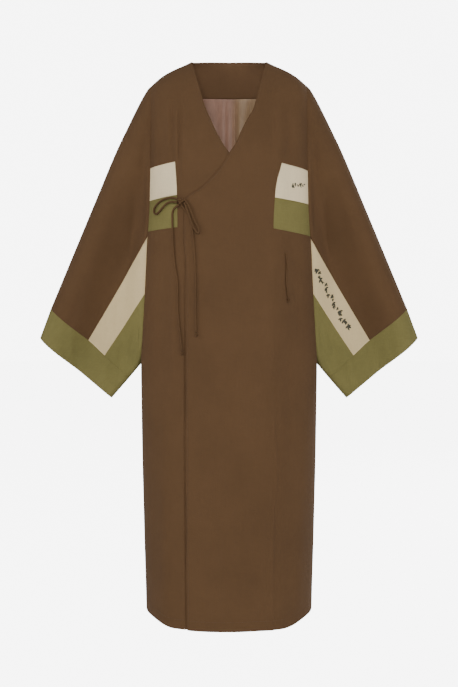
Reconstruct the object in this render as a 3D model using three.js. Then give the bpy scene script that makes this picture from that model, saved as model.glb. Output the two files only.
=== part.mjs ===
// Long wrap kaftan in its worn, hollow form.
// Millimetres. +X is the wearer's left, +Y the back, +Z up.
// The origin lies between the shoulders, halfway down the shoulder slope.
import * as THREE from 'three';

// ---- driving sizes ----
const WALL = 1.6; // main cloth
const LINING_WALL = 1.1; // facing and lining
const SEAM_GAP = 0.36; // between two sewn pieces
const EDGE_GAP = 0.2; // each side of the shoulder, side and under-arm seams
const OVERLAP_LIFT = 3.8; // left front over right front
const SECTION_POWER = 2.4; // roundness of the body sections
const NECK = { half: 90, z: 30, centreZ: 39.5 };
const TIP = { half: 186, z: -28, bulge: 7 };
const HEM = { z: -1287, sideRise: 15, from: 118, over: 68 };
const UNDERARM_Z = -693.5; // where the sleeve leaves the side seam
const ARM = { rTop: 47, rCuff: 41, flat: 9, falloff: 88, edge: 12, set: 14 };
const CUFF = { outer: [455, -632], lower: [282.7, -777.3] };
const BAND = { outer: [429, -561.7], strip: [337.9, -638], gusset: [299.3, -674.9], lower: [239.9, -728] };
const TIE_D = 4.5;
const STRING_D = 3.4;
const FACET_SAG = 1.2; // flat facets lie this far below the curved form

// Body sections: half width, depth forward and back of the side seam plane.
const BODY = [
  { z: 60, half: 199, front: 99, back: 92 },
  { z: 0, half: 199, front: 101, back: 96 },
  { z: -109, half: 195, front: 111, back: 103 },
  { z: -231, half: 194, front: 124, back: 110 },
  { z: -301, half: 194.7, front: 130, back: 112 },
  { z: -392, half: 198.5, front: 131, back: 114 },
  { z: -541, half: 204.5, front: 137, back: 122 },
  { z: -700, half: 210.6, front: 145, back: 134 },
  { z: -781, half: 209.5, front: 148, back: 138 },
  { z: -925, half: 207, front: 154, back: 143 },
  { z: -1021, half: 204.5, front: 156, back: 146 },
  { z: -1117, half: 202, front: 159, back: 149 },
  { z: -1213, half: 199, front: 161, back: 151 },
  { z: -1300, half: 196.8, front: 162, back: 152 },
];

// Half depth of the armhole slot down the side of the body.
const ARMHOLE = [
  { z: 0, depth: 46 },
  { z: -231, depth: 48 },
  { z: -308, depth: 49 },
  { z: -385, depth: 46 },
  { z: -402, depth: 41 },
  { z: -541, depth: 40 },
  { z: -640, depth: 37 },
  { z: -672, depth: 28 },
  { z: -687, depth: 15 },
  { z: UNDERARM_Z, depth: 0 },
];

// Rows of the fronts. sideR and sideL: height at the armhole or side seam;
// edgeR and edgeL: height at the free front edge.
const ROWS = [
  { sideR: -28, sideL: -28, edgeR: 30, edgeL: 30 },
  { sideR: -31, sideL: -31, edgeR: 26, edgeL: 26 },
  { sideR: -38, sideL: -38, edgeR: 17, edgeL: 17 },
  { sideR: -50, sideL: -50, edgeR: 2, edgeL: 2 },
  { sideR: -68, sideL: -68, edgeR: -20, edgeL: -22 },
  { sideR: -104.5, sideL: -104.5, edgeR: -62, edgeL: -66 },
  { sideR: -137, sideL: -138, edgeR: -102, edgeL: -110 },
  { sideR: -176, sideL: -179, edgeR: -146, edgeL: -156 },
  { sideR: -231, sideL: -236.5, edgeR: -201, edgeL: -202.4 },
  { sideR: -269, sideL: -276, edgeR: -237, edgeL: -231 },
  { sideR: -308, sideL: -315.8, edgeR: -273, edgeL: -284 },
  { sideR: -344, sideL: -353, edgeR: -312, edgeL: -313 },
  { sideR: -380, sideL: -391, edgeR: -352, edgeL: -343 },
  { sideR: -392, sideL: -396.5, edgeR: -366, edgeL: -361 },
  { sideR: -435, sideL: -436, edgeR: -412, edgeL: -409 },
  { sideR: -480, sideL: -480, edgeR: -462, edgeL: -460 },
  { sideR: -527, sideL: -527, edgeR: -515, edgeL: -515 },
  { sideR: -580, sideL: -580, edgeR: -575, edgeL: -575 },
  { sideR: -640, sideL: -640, edgeR: -640, edgeL: -640 },
  { sideR: -672, sideL: -672, edgeR: -674, edgeL: -674 },
  { sideR: -687, sideL: -687, edgeR: -690, edgeL: -690 },
  { sideR: UNDERARM_Z, sideL: UNDERARM_Z, edgeR: -697, edgeL: -697 },
  { sideR: -740, sideL: -740, edgeR: -745, edgeL: -745 },
  { sideR: -800, sideL: -800, edgeR: -806, edgeL: -806 },
  { sideR: -870, sideL: -870, edgeR: -878, edgeL: -878 },
  { sideR: -940, sideL: -940, edgeR: -950, edgeL: -950 },
  { sideR: -1010, sideL: -1010, edgeR: -1022, edgeL: -1022 },
  { sideR: -1080, sideL: -1080, edgeR: -1093, edgeL: -1093 },
  { sideR: -1150, sideL: -1150, edgeR: -1163, edgeL: -1163 },
  { sideR: -1215, sideL: -1215, edgeR: -1229, edgeL: -1229 },
  { sideR: -1272, sideL: -1272, edgeR: -1287, edgeL: -1287 },
];
const PATCH_ROWS = { top: 8, middle: 10, bottom: 12 };
const STRIP_ROW = 13;
const GUSSET_ROW = 16;
const UNDERARM_ROW = 21;

// Free front edges: neck, wrap diagonal, then the long vertical edge.
const EDGE_RIGHT = [
  { z: 30, x: -90 },
  { z: -67.4, x: -62.6 },
  { z: -94, x: -54.7 },
  { z: -123.8, x: -42.1 },
  { z: -152.8, x: -29.5 },
  { z: -178.3, x: -15.6 },
  { z: -202.4, x: 1.1 },
  { z: -273, x: 66 },
  { z: -312, x: 92 },
  { z: -352, x: 101 },
  { z: -412, x: 104 },
  { z: -822, x: 105 },
  { z: -927, x: 111 },
  { z: -1032, x: 104 },
  { z: -1156, x: 101 },
  { z: -1300, x: 100 },
];
const EDGE_LEFT = [
  { z: 30, x: 90 },
  { z: -67.4, x: 64.9 },
  { z: -98, x: 56 },
  { z: -118.7, x: 44.5 },
  { z: -152.8, x: 27.2 },
  { z: -178.4, x: 16.6 },
  { z: -202.4, x: 1.1 },
  { z: -227, x: -12.6 },
  { z: -282, x: -61.9 },
  { z: -300, x: -90.4 },
  { z: -313, x: -104 },
  { z: -402.7, x: -103.8 },
  { z: -467, x: -99 },
  { z: -676.6, x: -98.3 },
  { z: -993, x: -97.5 },
  { z: -1300, x: -94.5 },
];

// Inner edge of the chest insets, also the line that parts each front's columns.
const INSET_RIGHT = [
  { z: -28, x: 140 },
  { z: -222, x: 125.4 },
  { z: -299, x: 120.1 },
  { z: -373, x: 118.5 },
  { z: -1300, x: 124 },
];
const INSET_LEFT = [
  { z: -28, x: 140 },
  { z: -228, x: 123 },
  { z: -305, x: 106.4 },
  { z: -374, x: 102.2 },
  { z: -391, x: 102 },
  { z: -436, x: 112 },
  { z: -560, x: 116 },
  { z: -1300, x: 116 },
];
const SIDE_COLUMNS = [0, 0.03, 0.12, 0.35, 0.65, 1];
const FRONT_COLUMNS = [0.16, 0.33, 0.5, 0.66, 0.83, 1];
const BACK_COLUMNS = [1, 0.99, 0.96, 0.885, 0.75, 0.61, 0.4839, 0.33, 0.16];

// Bow of the sleeve's upper fold above the straight line, by share of its length.
const FOLD_BOW = [
  { t: 0, rise: 0 },
  { t: 0.038, rise: 11.3 },
  { t: 0.0973, rise: 18.6 },
  { t: 0.1467, rise: 22 },
  { t: 0.2333, rise: 25.5 },
  { t: 0.3405, rise: 29 },
  { t: 0.55, rise: 21 },
  { t: 0.7588, rise: 12 },
  { t: 1, rise: 0 },
];
const SLEEVE_STEPS = [0, 0.04, 0.1, 0.18, 0.28, 0.4, 0.55, 0.7, 0.85, 1];
const BAND_STEPS = [1.5, 2];

// ---- helpers ----
const clamp = (v, lo, hi) => Math.min(Math.max(v, lo), hi);
const lerp = (a, b, t) => a + (b - a) * t;
const smooth = (v) => {
  const t = clamp(v, 0, 1);
  return t * t * (3 - 2 * t);
};

// Monotone cubic reading of a table by one of its columns.
function read(rows, by, key, at) {
  const up = rows[1][by] > rows[0][by] ? 1 : -1;
  const last = rows.length - 1;
  if ((at - rows[0][by]) * up <= 0) return rows[0][key];
  if ((at - rows[last][by]) * up >= 0) return rows[last][key];
  let i = 0;
  while ((at - rows[i + 1][by]) * up > 0) i += 1;
  const slope = (k) => (rows[k + 1][key] - rows[k][key]) / (rows[k + 1][by] - rows[k][by]);
  const tangent = (k) => {
    if (k === 0) return slope(0);
    if (k === last) return slope(last - 1);
    const a = slope(k - 1);
    const b = slope(k);
    return a * b <= 0 ? 0 : (2 * a * b) / (a + b);
  };
  const width = rows[i + 1][by] - rows[i][by];
  const t = (at - rows[i][by]) / width;
  const t2 = t * t;
  const t3 = t2 * t;
  return (2 * t3 - 3 * t2 + 1) * rows[i][key]
    + (t3 - 2 * t2 + t) * width * tangent(i)
    + (3 * t2 - 2 * t3) * rows[i + 1][key]
    + (t3 - t2) * width * tangent(i + 1);
}

// ---- body form ----
function shoulderZ(x) {
  const a = Math.abs(x);
  const fall = (NECK.z - TIP.z) / (TIP.half - NECK.half);
  if (a < NECK.half) return NECK.z + fall * (Math.hypot(NECK.half, 24) - Math.hypot(a, 24));
  const s = clamp((a - NECK.half) / (TIP.half - NECK.half), 0, 1);
  return NECK.z - fall * (a - NECK.half) + TIP.bulge * Math.sin(Math.PI * Math.pow(s, 1.4));
}

function rise(h, reach, power) {
  if (h <= 0) return 0;
  if (h >= reach) return 1;
  return Math.pow(1 - Math.pow(1 - h / reach, power), 1 / power);
}

function roundness(x, z) {
  const u = clamp(Math.abs(x) / read(BODY, 'z', 'half', z), 0, 1);
  return Math.pow(1 - Math.pow(u, SECTION_POWER), 1 / SECTION_POWER);
}

const softFold = (x, at, width) => Math.exp(-(((x - at) / width) ** 2));

function frontY(x, z) {
  const toTip = smooth((Math.abs(x) - 95) / 90);
  const shape = rise(shoulderZ(x) - z, lerp(240, 80, toTip), lerp(1.7, 1.9, toTip));
  const low = smooth((-z - 620) / 560);
  const folds = 5 * softFold(x, -150, 22) + 4 * softFold(x, 152, 24) - 3 * softFold(x, 60, 30);
  return -(read(BODY, 'z', 'front', z) * shape + folds * low) * roundness(x, z);
}

function backY(x, z) {
  const toTip = smooth((Math.abs(x) - 95) / 90);
  const shape = rise(shoulderZ(x) - z, lerp(190, 80, toTip), 2);
  const low = smooth((-z - 420) / 760);
  const folds = 7 * softFold(x, -62, 26) + 6 * softFold(x, 74, 28) - 4 * softFold(x, 6, 26)
    + 5 * softFold(x, 142, 18) + 5 * softFold(x, -136, 18);
  return (read(BODY, 'z', 'back', z) * shape + folds * low) * roundness(x, z);
}

const sideY = (front, x, z) => (front ? frontY(x, z) : backY(x, z));

function overlapLift(x, z) {
  const across = 1 - smooth((x - 116) / 28);
  const down = smooth((shoulderZ(x) - z - 6) / 90);
  return OVERLAP_LIFT * across * down;
}

const overlapY = (x, z) => frontY(x, z) - overlapLift(x, z);

function normalFrom(fn, outward, x, z) {
  const e = 0.4;
  const half = read(BODY, 'z', 'half', z);
  const a = clamp(x - e, -half, half);
  const b = clamp(x + e, -half, half);
  const dx = (fn(b, z) - fn(a, z)) / (b - a);
  const dz = (fn(x, z + e) - fn(x, z - e)) / (2 * e);
  return new THREE.Vector3(-outward * dx, outward, -outward * dz).normalize();
}

function shoulderNormal(x) {
  const slope = shoulderZ(Math.abs(x) + 0.5) - shoulderZ(Math.abs(x) - 0.5);
  return new THREE.Vector3(-Math.sign(x) * slope, 0, 1).normalize();
}

// Outer limit of a front or back panel: armhole edge, then side seam.
function panelHalf(z) {
  const half = read(BODY, 'z', 'half', z);
  if (z <= UNDERARM_Z) return half;
  const share = read(ARMHOLE, 'z', 'depth', z) / read(BODY, 'z', 'front', z);
  const u = Math.pow(1 - Math.pow(share, SECTION_POWER), 1 / SECTION_POWER);
  return Math.min(half * u, lerp(TIP.half, half * u, smooth((TIP.z - z) / 40)));
}

const hemZ = (x) => HEM.z + HEM.sideRise * smooth((Math.abs(x) - HEM.from) / HEM.over);

// ---- closed wall from a grid of outer and inner points ----
function wallGeometry(columns, rows, outer, inner, keep, closed) {
  const count = closed ? columns : columns - 1;
  const id = (i, j) => (i % columns) * rows + j;
  const kept = (i, j) => {
    if (j < 0 || j >= rows - 1) return false;
    if (!closed && (i < 0 || i >= count)) return false;
    return keep((i + count) % count, j);
  };
  const points = [];
  const faces = [];
  const number = new Map();
  const vertex = (i, j, layer) => {
    const key = id(i, j) * 2 + layer;
    if (!number.has(key)) {
      number.set(key, points.length);
      points.push(layer === 0 ? outer(i % columns, j) : inner(i % columns, j));
    }
    return number.get(key);
  };
  const quad = (a, b, c, d) => {
    faces.push([a, b, c], [a, c, d]);
  };
  for (let i = 0; i < count; i += 1) {
    for (let j = 0; j < rows - 1; j += 1) {
      if (!kept(i, j)) continue;
      const o = [vertex(i, j, 0), vertex(i + 1, j, 0), vertex(i + 1, j + 1, 0), vertex(i, j + 1, 0)];
      const n = [vertex(i, j, 1), vertex(i + 1, j, 1), vertex(i + 1, j + 1, 1), vertex(i, j + 1, 1)];
      quad(o[0], o[1], o[2], o[3]);
      quad(n[2], n[1], n[0], n[3]);
      if (!kept(i, j - 1)) quad(o[1], o[0], n[0], n[1]);
      if (!kept(i, j + 1)) quad(o[3], o[2], n[2], n[3]);
      if (!kept(i - 1, j)) quad(o[0], o[3], n[3], n[0]);
      if (!kept(i + 1, j)) quad(o[2], o[1], n[1], n[2]);
    }
  }
  const volume = faces.reduce((sum, [a, b, c]) => {
    const cross = new THREE.Vector3().crossVectors(points[b], points[c]);
    return sum + points[a].dot(cross);
  }, 0);
  const index = faces.flatMap(([a, b, c]) => (volume > 0 ? [a, b, c] : [a, c, b]));
  const geometry = new THREE.BufferGeometry();
  const flat = points.flatMap((p) => [p.x, p.y, p.z]);
  geometry.setAttribute('position', new THREE.Float32BufferAttribute(flat, 3));
  geometry.setIndex(index);
  geometry.computeVertexNormals();
  return geometry;
}

const whole = () => true;
const group = new THREE.Group();
group.name = 'kaftan';

const COLOURS = {
  brown: 0x60472f,
  linen: 0xc6bba7,
  olive: 0x7b6f44,
  lining: 0x8b6d5a,
  tie: 0x2e2118,
};

function add(name, geometry, colour, roughness = 0.9) {
  const material = new THREE.MeshStandardMaterial({ color: COLOURS[colour], roughness, metalness: 0 });
  material.name = colour;
  const mesh = new THREE.Mesh(geometry, material);
  mesh.name = name;
  group.add(mesh);
}

// ---- fronts ----
// Columns run from the side inwards, rows from shoulder to hem.
const FRONT_GRID = [
  ...SIDE_COLUMNS.map((f) => ({ strip: 'side', f })),
  ...FRONT_COLUMNS.map((f) => ({ strip: 'centre', f })),
];
const INSET_COLUMN = SIDE_COLUMNS.length - 1;

function frontPlan(left) {
  const sign = left ? 1 : -1;
  const edge = left ? EDGE_LEFT : EDGE_RIGHT;
  const inset = left ? INSET_LEFT : INSET_RIGHT;
  const side = left ? 'sideL' : 'sideR';
  const free = left ? 'edgeL' : 'edgeR';
  return (i, j) => {
    const row = ROWS[j];
    const xSide = sign * panelHalf(row[side]);
    const xFree = read(edge, 'z', 'x', row[free]);
    const xInset = sign * read(inset, 'z', 'x', row[side]);
    const column = FRONT_GRID[i];
    const x = column.strip === 'side' ? lerp(xSide, xInset, column.f) : lerp(xInset, xFree, column.f);
    const share = clamp((x - xSide) / (xFree - xSide), 0, 1);
    const bulge = TIP.bulge * Math.sin(Math.PI * Math.pow(1 - share, 1.4));
    let z = lerp(row[side], row[free], share) + bulge * clamp(1 - j / 7, 0, 1);
    if (j === 0) z = shoulderZ(x);
    if (j === ROWS.length - 1) z = hemZ(x);
    return { x, z };
  };
}

// Outer and inner point of a front at one place of its plan.
function frontPoint(left, x, z, j, atSide) {
  const fn = left ? overlapY : frontY;
  const sideSeam = atSide && z <= UNDERARM_Z + 0.01;
  let normal = normalFrom(fn, -1, x, z);
  let y = fn(x, z);
  if (j === 0) {
    normal = shoulderNormal(x);
    y = -EDGE_GAP;
  }
  if (sideSeam) {
    normal = new THREE.Vector3(Math.sign(x), 0, 0);
    y = -EDGE_GAP;
  }
  const outer = new THREE.Vector3(x, y, z);
  return { outer, inner: outer.clone().addScaledVector(normal, -WALL) };
}

function frontPanel(name, left) {
  const plan = frontPlan(left);
  const at = (i, j) => {
    const { x, z } = plan(i, j);
    return frontPoint(left, x, z, j, i === 0);
  };
  const keep = (i, j) => i >= INSET_COLUMN || j < PATCH_ROWS.top || j >= PATCH_ROWS.bottom;
  const outer = (i, j) => at(i, j).outer;
  const inner = (i, j) => at(i, j).inner;
  add(name, wallGeometry(FRONT_GRID.length, ROWS.length, outer, inner, keep, false), 'brown');
}

// Chest insets fill the cells the front leaves out, a seam gap inside them.
function chestInset(name, left, from, to, colour) {
  const plan = frontPlan(left);
  const sign = left ? 1 : -1;
  const count = to - from + 1;
  const at = (i, j) => {
    const { x, z } = plan(i, from + j);
    const dx = i === INSET_COLUMN ? sign * SEAM_GAP : 0;
    const up = j === count - 1 ? SEAM_GAP : 0;
    const down = j === 0 ? SEAM_GAP : 0;
    return frontPoint(left, x + dx, z + up - down, from + j, false);
  };
  const outer = (i, j) => at(i, j).outer;
  const inner = (i, j) => at(i, j).inner;
  add(name, wallGeometry(INSET_COLUMN + 1, count, outer, inner, whole, false), colour);
}

frontPanel('front_right_under', false);
frontPanel('front_left_over', true);
for (const left of [false, true]) {
  const side = left ? 'left' : 'right';
  chestInset(`chest_linen_${side}`, left, PATCH_ROWS.top, PATCH_ROWS.middle, 'linen');
  chestInset(`chest_olive_${side}`, left, PATCH_ROWS.middle, PATCH_ROWS.bottom, 'olive');
}

// ---- back panel ----
// Rows below the neck are levelled towards the straight lower edge of the facing.
const BACK_LEVEL = [0, 0.1, 0.25, 0.45, 0.65, 0.8, 0.7, 0.5, 0.3, 0.15];
const FACING_ROW = 5;
const BACK_SHARES = [...BACK_COLUMNS.map((s) => -s), 0, ...BACK_COLUMNS.slice().reverse()];

function neckBackZ(x) {
  const s = clamp(Math.abs(x) / NECK.half, 0, 1);
  return lerp(NECK.centreZ, NECK.z, Math.pow(s, 2.2));
}

function backPlan(i, j) {
  const s = BACK_SHARES[i];
  const sideZ = lerp(ROWS[j].sideR, ROWS[j].sideL, (s + 1) / 2);
  const share = (sideZ - TIP.z) / (ROWS[ROWS.length - 1].sideR - TIP.z);
  const xTop = s * TIP.half;
  const top = Math.abs(xTop) < NECK.half ? neckBackZ(xTop) : shoulderZ(xTop);
  let x = s * panelHalf(sideZ);
  const level = (BACK_LEVEL[j] ?? 0) * (NECK.centreZ - top) * (1 - smooth((Math.abs(s) - 0.61) / 0.14));
  const z = Math.abs(s) === 1 ? sideZ : lerp(top, hemZ(x), share) + level;
  if (Math.abs(s) < 1) x = s * lerp(panelHalf(z), panelHalf(sideZ), Math.pow(Math.abs(s), 6));
  return { x, z };
}

// Point of the back grid, moved in from the outside of the cloth by a depth.
function backPoint(i, j, depth) {
  const { x, z } = backPlan(i, j);
  const onShoulder = j === 0 && Math.abs(x) > NECK.half - 0.5;
  const atSide = i === 0 || i === BACK_SHARES.length - 1;
  let normal = normalFrom(backY, 1, x, z);
  let y = backY(x, z);
  if (onShoulder) {
    normal = shoulderNormal(x);
    y = EDGE_GAP;
  }
  if (atSide && z <= UNDERARM_Z + 0.01) {
    normal = new THREE.Vector3(Math.sign(x), 0, 0);
    y = EDGE_GAP;
  }
  return new THREE.Vector3(x, y, z).addScaledVector(normal, -depth);
}

{
  const outer = (i, j) => backPoint(i, j, 0);
  const inner = (i, j) => backPoint(i, j, WALL);
  add('back_panel', wallGeometry(BACK_SHARES.length, ROWS.length, outer, inner, whole, false), 'brown');
}

// ---- sleeves ----
// Column k = 0 lies on the upper fold, k = UNDERARM_ROW on the under-arm edge.
function bandPoint(k, heights) {
  const part = (from, to) => (heights[k] - heights[from]) / (heights[to] - heights[from]);
  if (k <= STRIP_ROW) return mix2(BAND.outer, BAND.strip, part(0, STRIP_ROW));
  if (k <= GUSSET_ROW) return mix2(BAND.strip, BAND.gusset, part(STRIP_ROW, GUSSET_ROW));
  return mix2(BAND.gusset, BAND.lower, part(GUSSET_ROW, UNDERARM_ROW));
}

function mix2(a, b, t) {
  return [lerp(a[0], b[0], t), lerp(a[1], b[1], t)];
}

function cuffPoint(band) {
  const run = Math.hypot(BAND.lower[0] - BAND.outer[0], BAND.lower[1] - BAND.outer[1]);
  const t = Math.hypot(band[0] - BAND.outer[0], band[1] - BAND.outer[1]) / run;
  return mix2(CUFF.outer, CUFF.lower, clamp(t, 0, 1));
}

// Half depth of the sleeve: a round arm below the fold, then two cloth layers close together.
function armDepth(w, width, r) {
  if (w <= 0) return 0;
  const near = w < r ? r * Math.sqrt(1 - (1 - w / r) ** 2) : 0;
  const far = ARM.flat + (r - ARM.flat) * (1 - smooth((w - r) / ARM.falloff));
  const d = clamp((width - w) / ARM.edge, 0, 1);
  return (w < r ? near : far) * Math.sqrt(1 - (1 - d) ** 2);
}

function sleeve(left) {
  const sign = left ? 1 : -1;
  const suffix = left ? 'left' : 'right';
  const heights = ROWS.slice(0, UNDERARM_ROW + 1).map((row) => row[left ? 'sideL' : 'sideR']);
  const steps = [...SLEEVE_STEPS, ...BAND_STEPS];
  const seam = SLEEVE_STEPS.length - 1;
  const down = new THREE.Vector2(-0.917, -0.4);

  const plan = (k, t) => {
    const arm = [panelHalf(heights[k]), heights[k]];
    const band = bandPoint(k, heights);
    if (t > 1) return mix2(band, cuffPoint(band), t - 1);
    const p = mix2(arm, band, t);
    const s = clamp((heights[k] - heights[0]) / (heights[STRIP_ROW] - heights[0]), 0, 1);
    p[1] += read(FOLD_BOW, 't', 'rise', t) * (1 - s) ** 1.5;
    return p;
  };
  const across = (k, t) => {
    const a = plan(0, t);
    const p = plan(k, t);
    return (p[0] - a[0]) * down.x + (p[1] - a[1]) * down.y;
  };
  const middle = (t) => ARM.set * smooth(t);
  const depth = (k, t, front) => {
    if (k === 0) return 0;
    const r = lerp(ARM.rTop, ARM.rCuff, clamp(t, 0, 1));
    const arm = armDepth(across(k, t), across(UNDERARM_ROW, t), r);
    const x = panelHalf(heights[k]);
    const body = Math.abs(sideY(front, sign * x, heights[k]));
    const reach = lerp(0.25, 0.85, smooth((k - 8) / 13));
    return lerp(body, arm, smooth(t / reach));
  };

  // Full grid: front from under-arm to fold, then back from fold to under-arm.
  const last = UNDERARM_ROW * 2;
  const points = [];
  for (let c = 0; c <= last; c += 1) {
    const front = c < UNDERARM_ROW;
    const k = Math.abs(c - UNDERARM_ROW);
    points.push(steps.map((t) => {
      const [x, z] = plan(k, t);
      const y = middle(t) + (front ? -1 : 1) * depth(k, t, front);
      return new THREE.Vector3(sign * x, y, z);
    }));
  }
  const round = (c, r) => {
    const a = c === 0 ? points[last - 1][r] : points[c - 1][r];
    const b = c === last ? points[1][r] : points[c + 1][r];
    return new THREE.Vector3().subVectors(b, a);
  };
  const along = (c, r) => {
    const line = points[c];
    return new THREE.Vector3().subVectors(line[Math.min(r + 1, line.length - 1)], line[Math.max(r - 1, 0)]);
  };
  const outward = (c, r) => {
    const n = new THREE.Vector3().crossVectors(along(c, r), round(c, r)).multiplyScalar(sign);
    if (c === 0 || c === last || c === UNDERARM_ROW) n.setY(0);
    return n.normalize();
  };
  // Direction off the armhole edge, in the cloth's own plane.
  const offArmhole = (c) => {
    const off = new THREE.Vector3().crossVectors(round(c, 0), outward(c, 0)).normalize();
    return off.multiplyScalar(Math.sign(off.dot(along(c, 0))));
  };
  const pointAt = (c, r, layer) => {
    const p = points[c][r].clone().addScaledVector(outward(c, r), layer === 0 ? 0 : -WALL);
    return r === 0 ? p.addScaledVector(offArmhole(c), SEAM_GAP) : p;
  };

  // One piece of the full grid; trimmed edges leave the seam gap.
  const piece = (name, from, to, colour, trim) => {
    const at = (i, r, layer) => {
      const c = from + i;
      const p = pointAt(c, r, layer);
      if (c === 0) p.y -= EDGE_GAP;
      if (c === last) p.y += EDGE_GAP;
      if (r === seam) {
        const back = new THREE.Vector3().subVectors(pointAt(c, r - 1, layer), p);
        p.addScaledVector(back.normalize(), SEAM_GAP);
      }
      if (trim && (i === 0 || c === to)) {
        const next = new THREE.Vector3().subVectors(points[i === 0 ? c + 1 : c - 1][r], points[c][r]);
        const bite = next.normalize().clone().cross(along(c, r).normalize()).length();
        p.addScaledVector(next, (1.4 * SEAM_GAP) / bite);
      }
      return p;
    };
    const outer = (i, r) => at(i, r, 0);
    const inner = (i, r) => at(i, r, 1);
    add(`${name}_${suffix}`, wallGeometry(to - from + 1, seam + 1, outer, inner, whole, false), colour);
  };
  piece('sleeve_gusset', 0, UNDERARM_ROW - GUSSET_ROW, 'olive', false);
  piece('sleeve_strip', UNDERARM_ROW - GUSSET_ROW, UNDERARM_ROW - STRIP_ROW, 'linen', true);
  piece('sleeve_main', UNDERARM_ROW - STRIP_ROW, last, 'brown', false);

  const outer = (i, r) => pointAt(i, seam + r, 0);
  const inner = (i, r) => pointAt(i, seam + r, 1);
  add(`cuff_band_${suffix}`, wallGeometry(last, BAND_STEPS.length + 1, outer, inner, whole, true), 'olive');
}

sleeve(false);
sleeve(true);

// ---- back neck facing and the lining below it ----
const FACING = { columns: [5, 13], gap: 0.36 };
const LINING = { half: 104, bottomZ: -330, columns: 22, rows: 8 };

{
  const [from, to] = FACING.columns;
  const outer = (i, j) => backPoint(from + i, j, WALL + FACING.gap);
  const inner = (i, j) => backPoint(from + i, j, WALL + FACING.gap + LINING_WALL);
  add('back_facing', wallGeometry(to - from + 1, FACING_ROW + 1, outer, inner, whole, false), 'brown');
}

// Height of the facing's lower edge at any x.
function facingEdgeZ(x) {
  const line = BACK_SHARES.map((s, i) => backPlan(i, FACING_ROW));
  const i = line.findIndex((p) => p.x > x);
  const share = (x - line[i - 1].x) / (line[i].x - line[i - 1].x);
  return lerp(line[i - 1].z, line[i].z, share);
}

{
  const pleats = [
    { x: -88, width: 15, depth: 5 },
    { x: -34, width: 19, depth: 7 },
    { x: 33, width: 15, depth: 11 },
    { x: 84, width: 16, depth: 8 },
  ];
  const at = (i, j, extra) => {
    const x = lerp(-LINING.half, LINING.half, i / LINING.columns);
    const t = j / LINING.rows;
    const z = lerp(facingEdgeZ(x) - 2.2, LINING.bottomZ, t);
    const fold = pleats.reduce((sum, p) => sum + p.depth * softFold(x, p.x, p.width), 0);
    const off = WALL + 1.7 + 2.2 * smooth(t / 0.12) + fold * lerp(0.1, 1.3, Math.sqrt(t));
    return new THREE.Vector3(x, backY(x, z) - off - extra, z);
  };
  const outer = (i, j) => at(i, j, 0);
  const inner = (i, j) => at(i, j, LINING_WALL);
  const geometry = wallGeometry(LINING.columns + 1, LINING.rows + 1, outer, inner, whole, false);
  add('back_lining', geometry, 'lining', 0.6);
}

// ---- tie: knot, two bow loops, two tails; and the side string ----
// Routes of the cords: x, clearance above the cloth, z.
const LOOP_SIDE = [
  [-117, 6.2, -309],
  [-128.5, 3.8, -305.8],
  [-137.5, 2.8, -305.6],
  [-147, 2.2, -307.4],
  [-157, 1.8, -311.2],
  [-165, 1.5, -316.6],
  [-171, 1.3, -323],
  [-174.8, 0.8, -331],
  [-173.8, 0.6, -338],
  [-169, 0.7, -341],
  [-163, 1.4, -337.5],
  [-156, 1.8, -330],
  [-148.5, 2.2, -322],
  [-141, 2.7, -317],
  [-133, 3.6, -315],
  [-118.9, 6.2, -316],
];
const LOOP_CENTRE = [
  [-102.1, 3.6, -317.8],
  [-97.5, 5, -329],
  [-92.3, 6.4, -344],
  [-86.4, 6.2, -361],
  [-80.6, 5.2, -374.5],
  [-75.4, 4.3, -384.2],
  [-72, 3.9, -387.4],
  [-69.2, 3.7, -386.4],
  [-68.2, 3.6, -381.5],
  [-70.6, 3.7, -374],
  [-75.4, 3.9, -365],
  [-81.6, 4.2, -351.5],
  [-86.6, 4.5, -338],
  [-92.4, 4, -324.5],
  [-102.6, 3, -309.6],
];
const TAIL_SIDE = [
  [-113.6, 5.2, -321.9],
  [-120, 3.4, -325.6],
  [-126, 1.7, -330.4],
  [-129.4, 0.9, -338],
  [-130.2, 0.9, -355],
  [-129.6, 0.9, -378],
  [-128.6, 0.9, -405],
  [-127.2, 0.9, -432],
  [-123.6, 0.9, -466],
  [-119, 0.9, -492],
  [-117.4, 0.9, -525],
  [-117, 0.9, -560],
  [-114.6, 0.9, -592],
  [-111.2, 0.9, -622],
  [-108.2, 0.9, -645],
  [-107.2, 0.9, -655],
];
const TAIL_CENTRE = [
  [-109.4, 3.4, -321.8],
  [-101.5, 1.8, -333],
  [-92, 1.5, -346],
  [-86.6, 1.5, -362],
  [-83.4, 1.5, -383],
  [-81.4, 1.5, -405],
  [-79.2, 1.5, -432],
  [-77, 1.5, -466],
  [-76.2, 1.5, -500],
  [-76, 1.5, -535],
  [-75.8, 1.5, -570],
  [-75.2, 1.5, -595],
  [-74.6, 1.5, -613],
];
const SIDE_STRING = [
  [131, 0.4, -433],
  [132.2, 0.4, -446],
  [133.4, 0.4, -460],
  [132.6, 0.4, -480],
  [132.2, 0.4, -500],
  [134, 0.4, -520],
  [136.2, 0.4, -536],
];

// Most forward place of the cloth near a point of the fronts.
function clothY(x, z, reach) {
  const near = [[0, 0], [-1, 0], [1, 0], [0, -1], [0, 1]];
  return Math.min(...near.map(([a, b]) => {
    const px = x + a * reach;
    const pz = z + b * reach;
    return px > read(EDGE_LEFT, 'z', 'x', pz) - 1 ? overlapY(px, pz) : frontY(px, pz);
  }));
}

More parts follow.
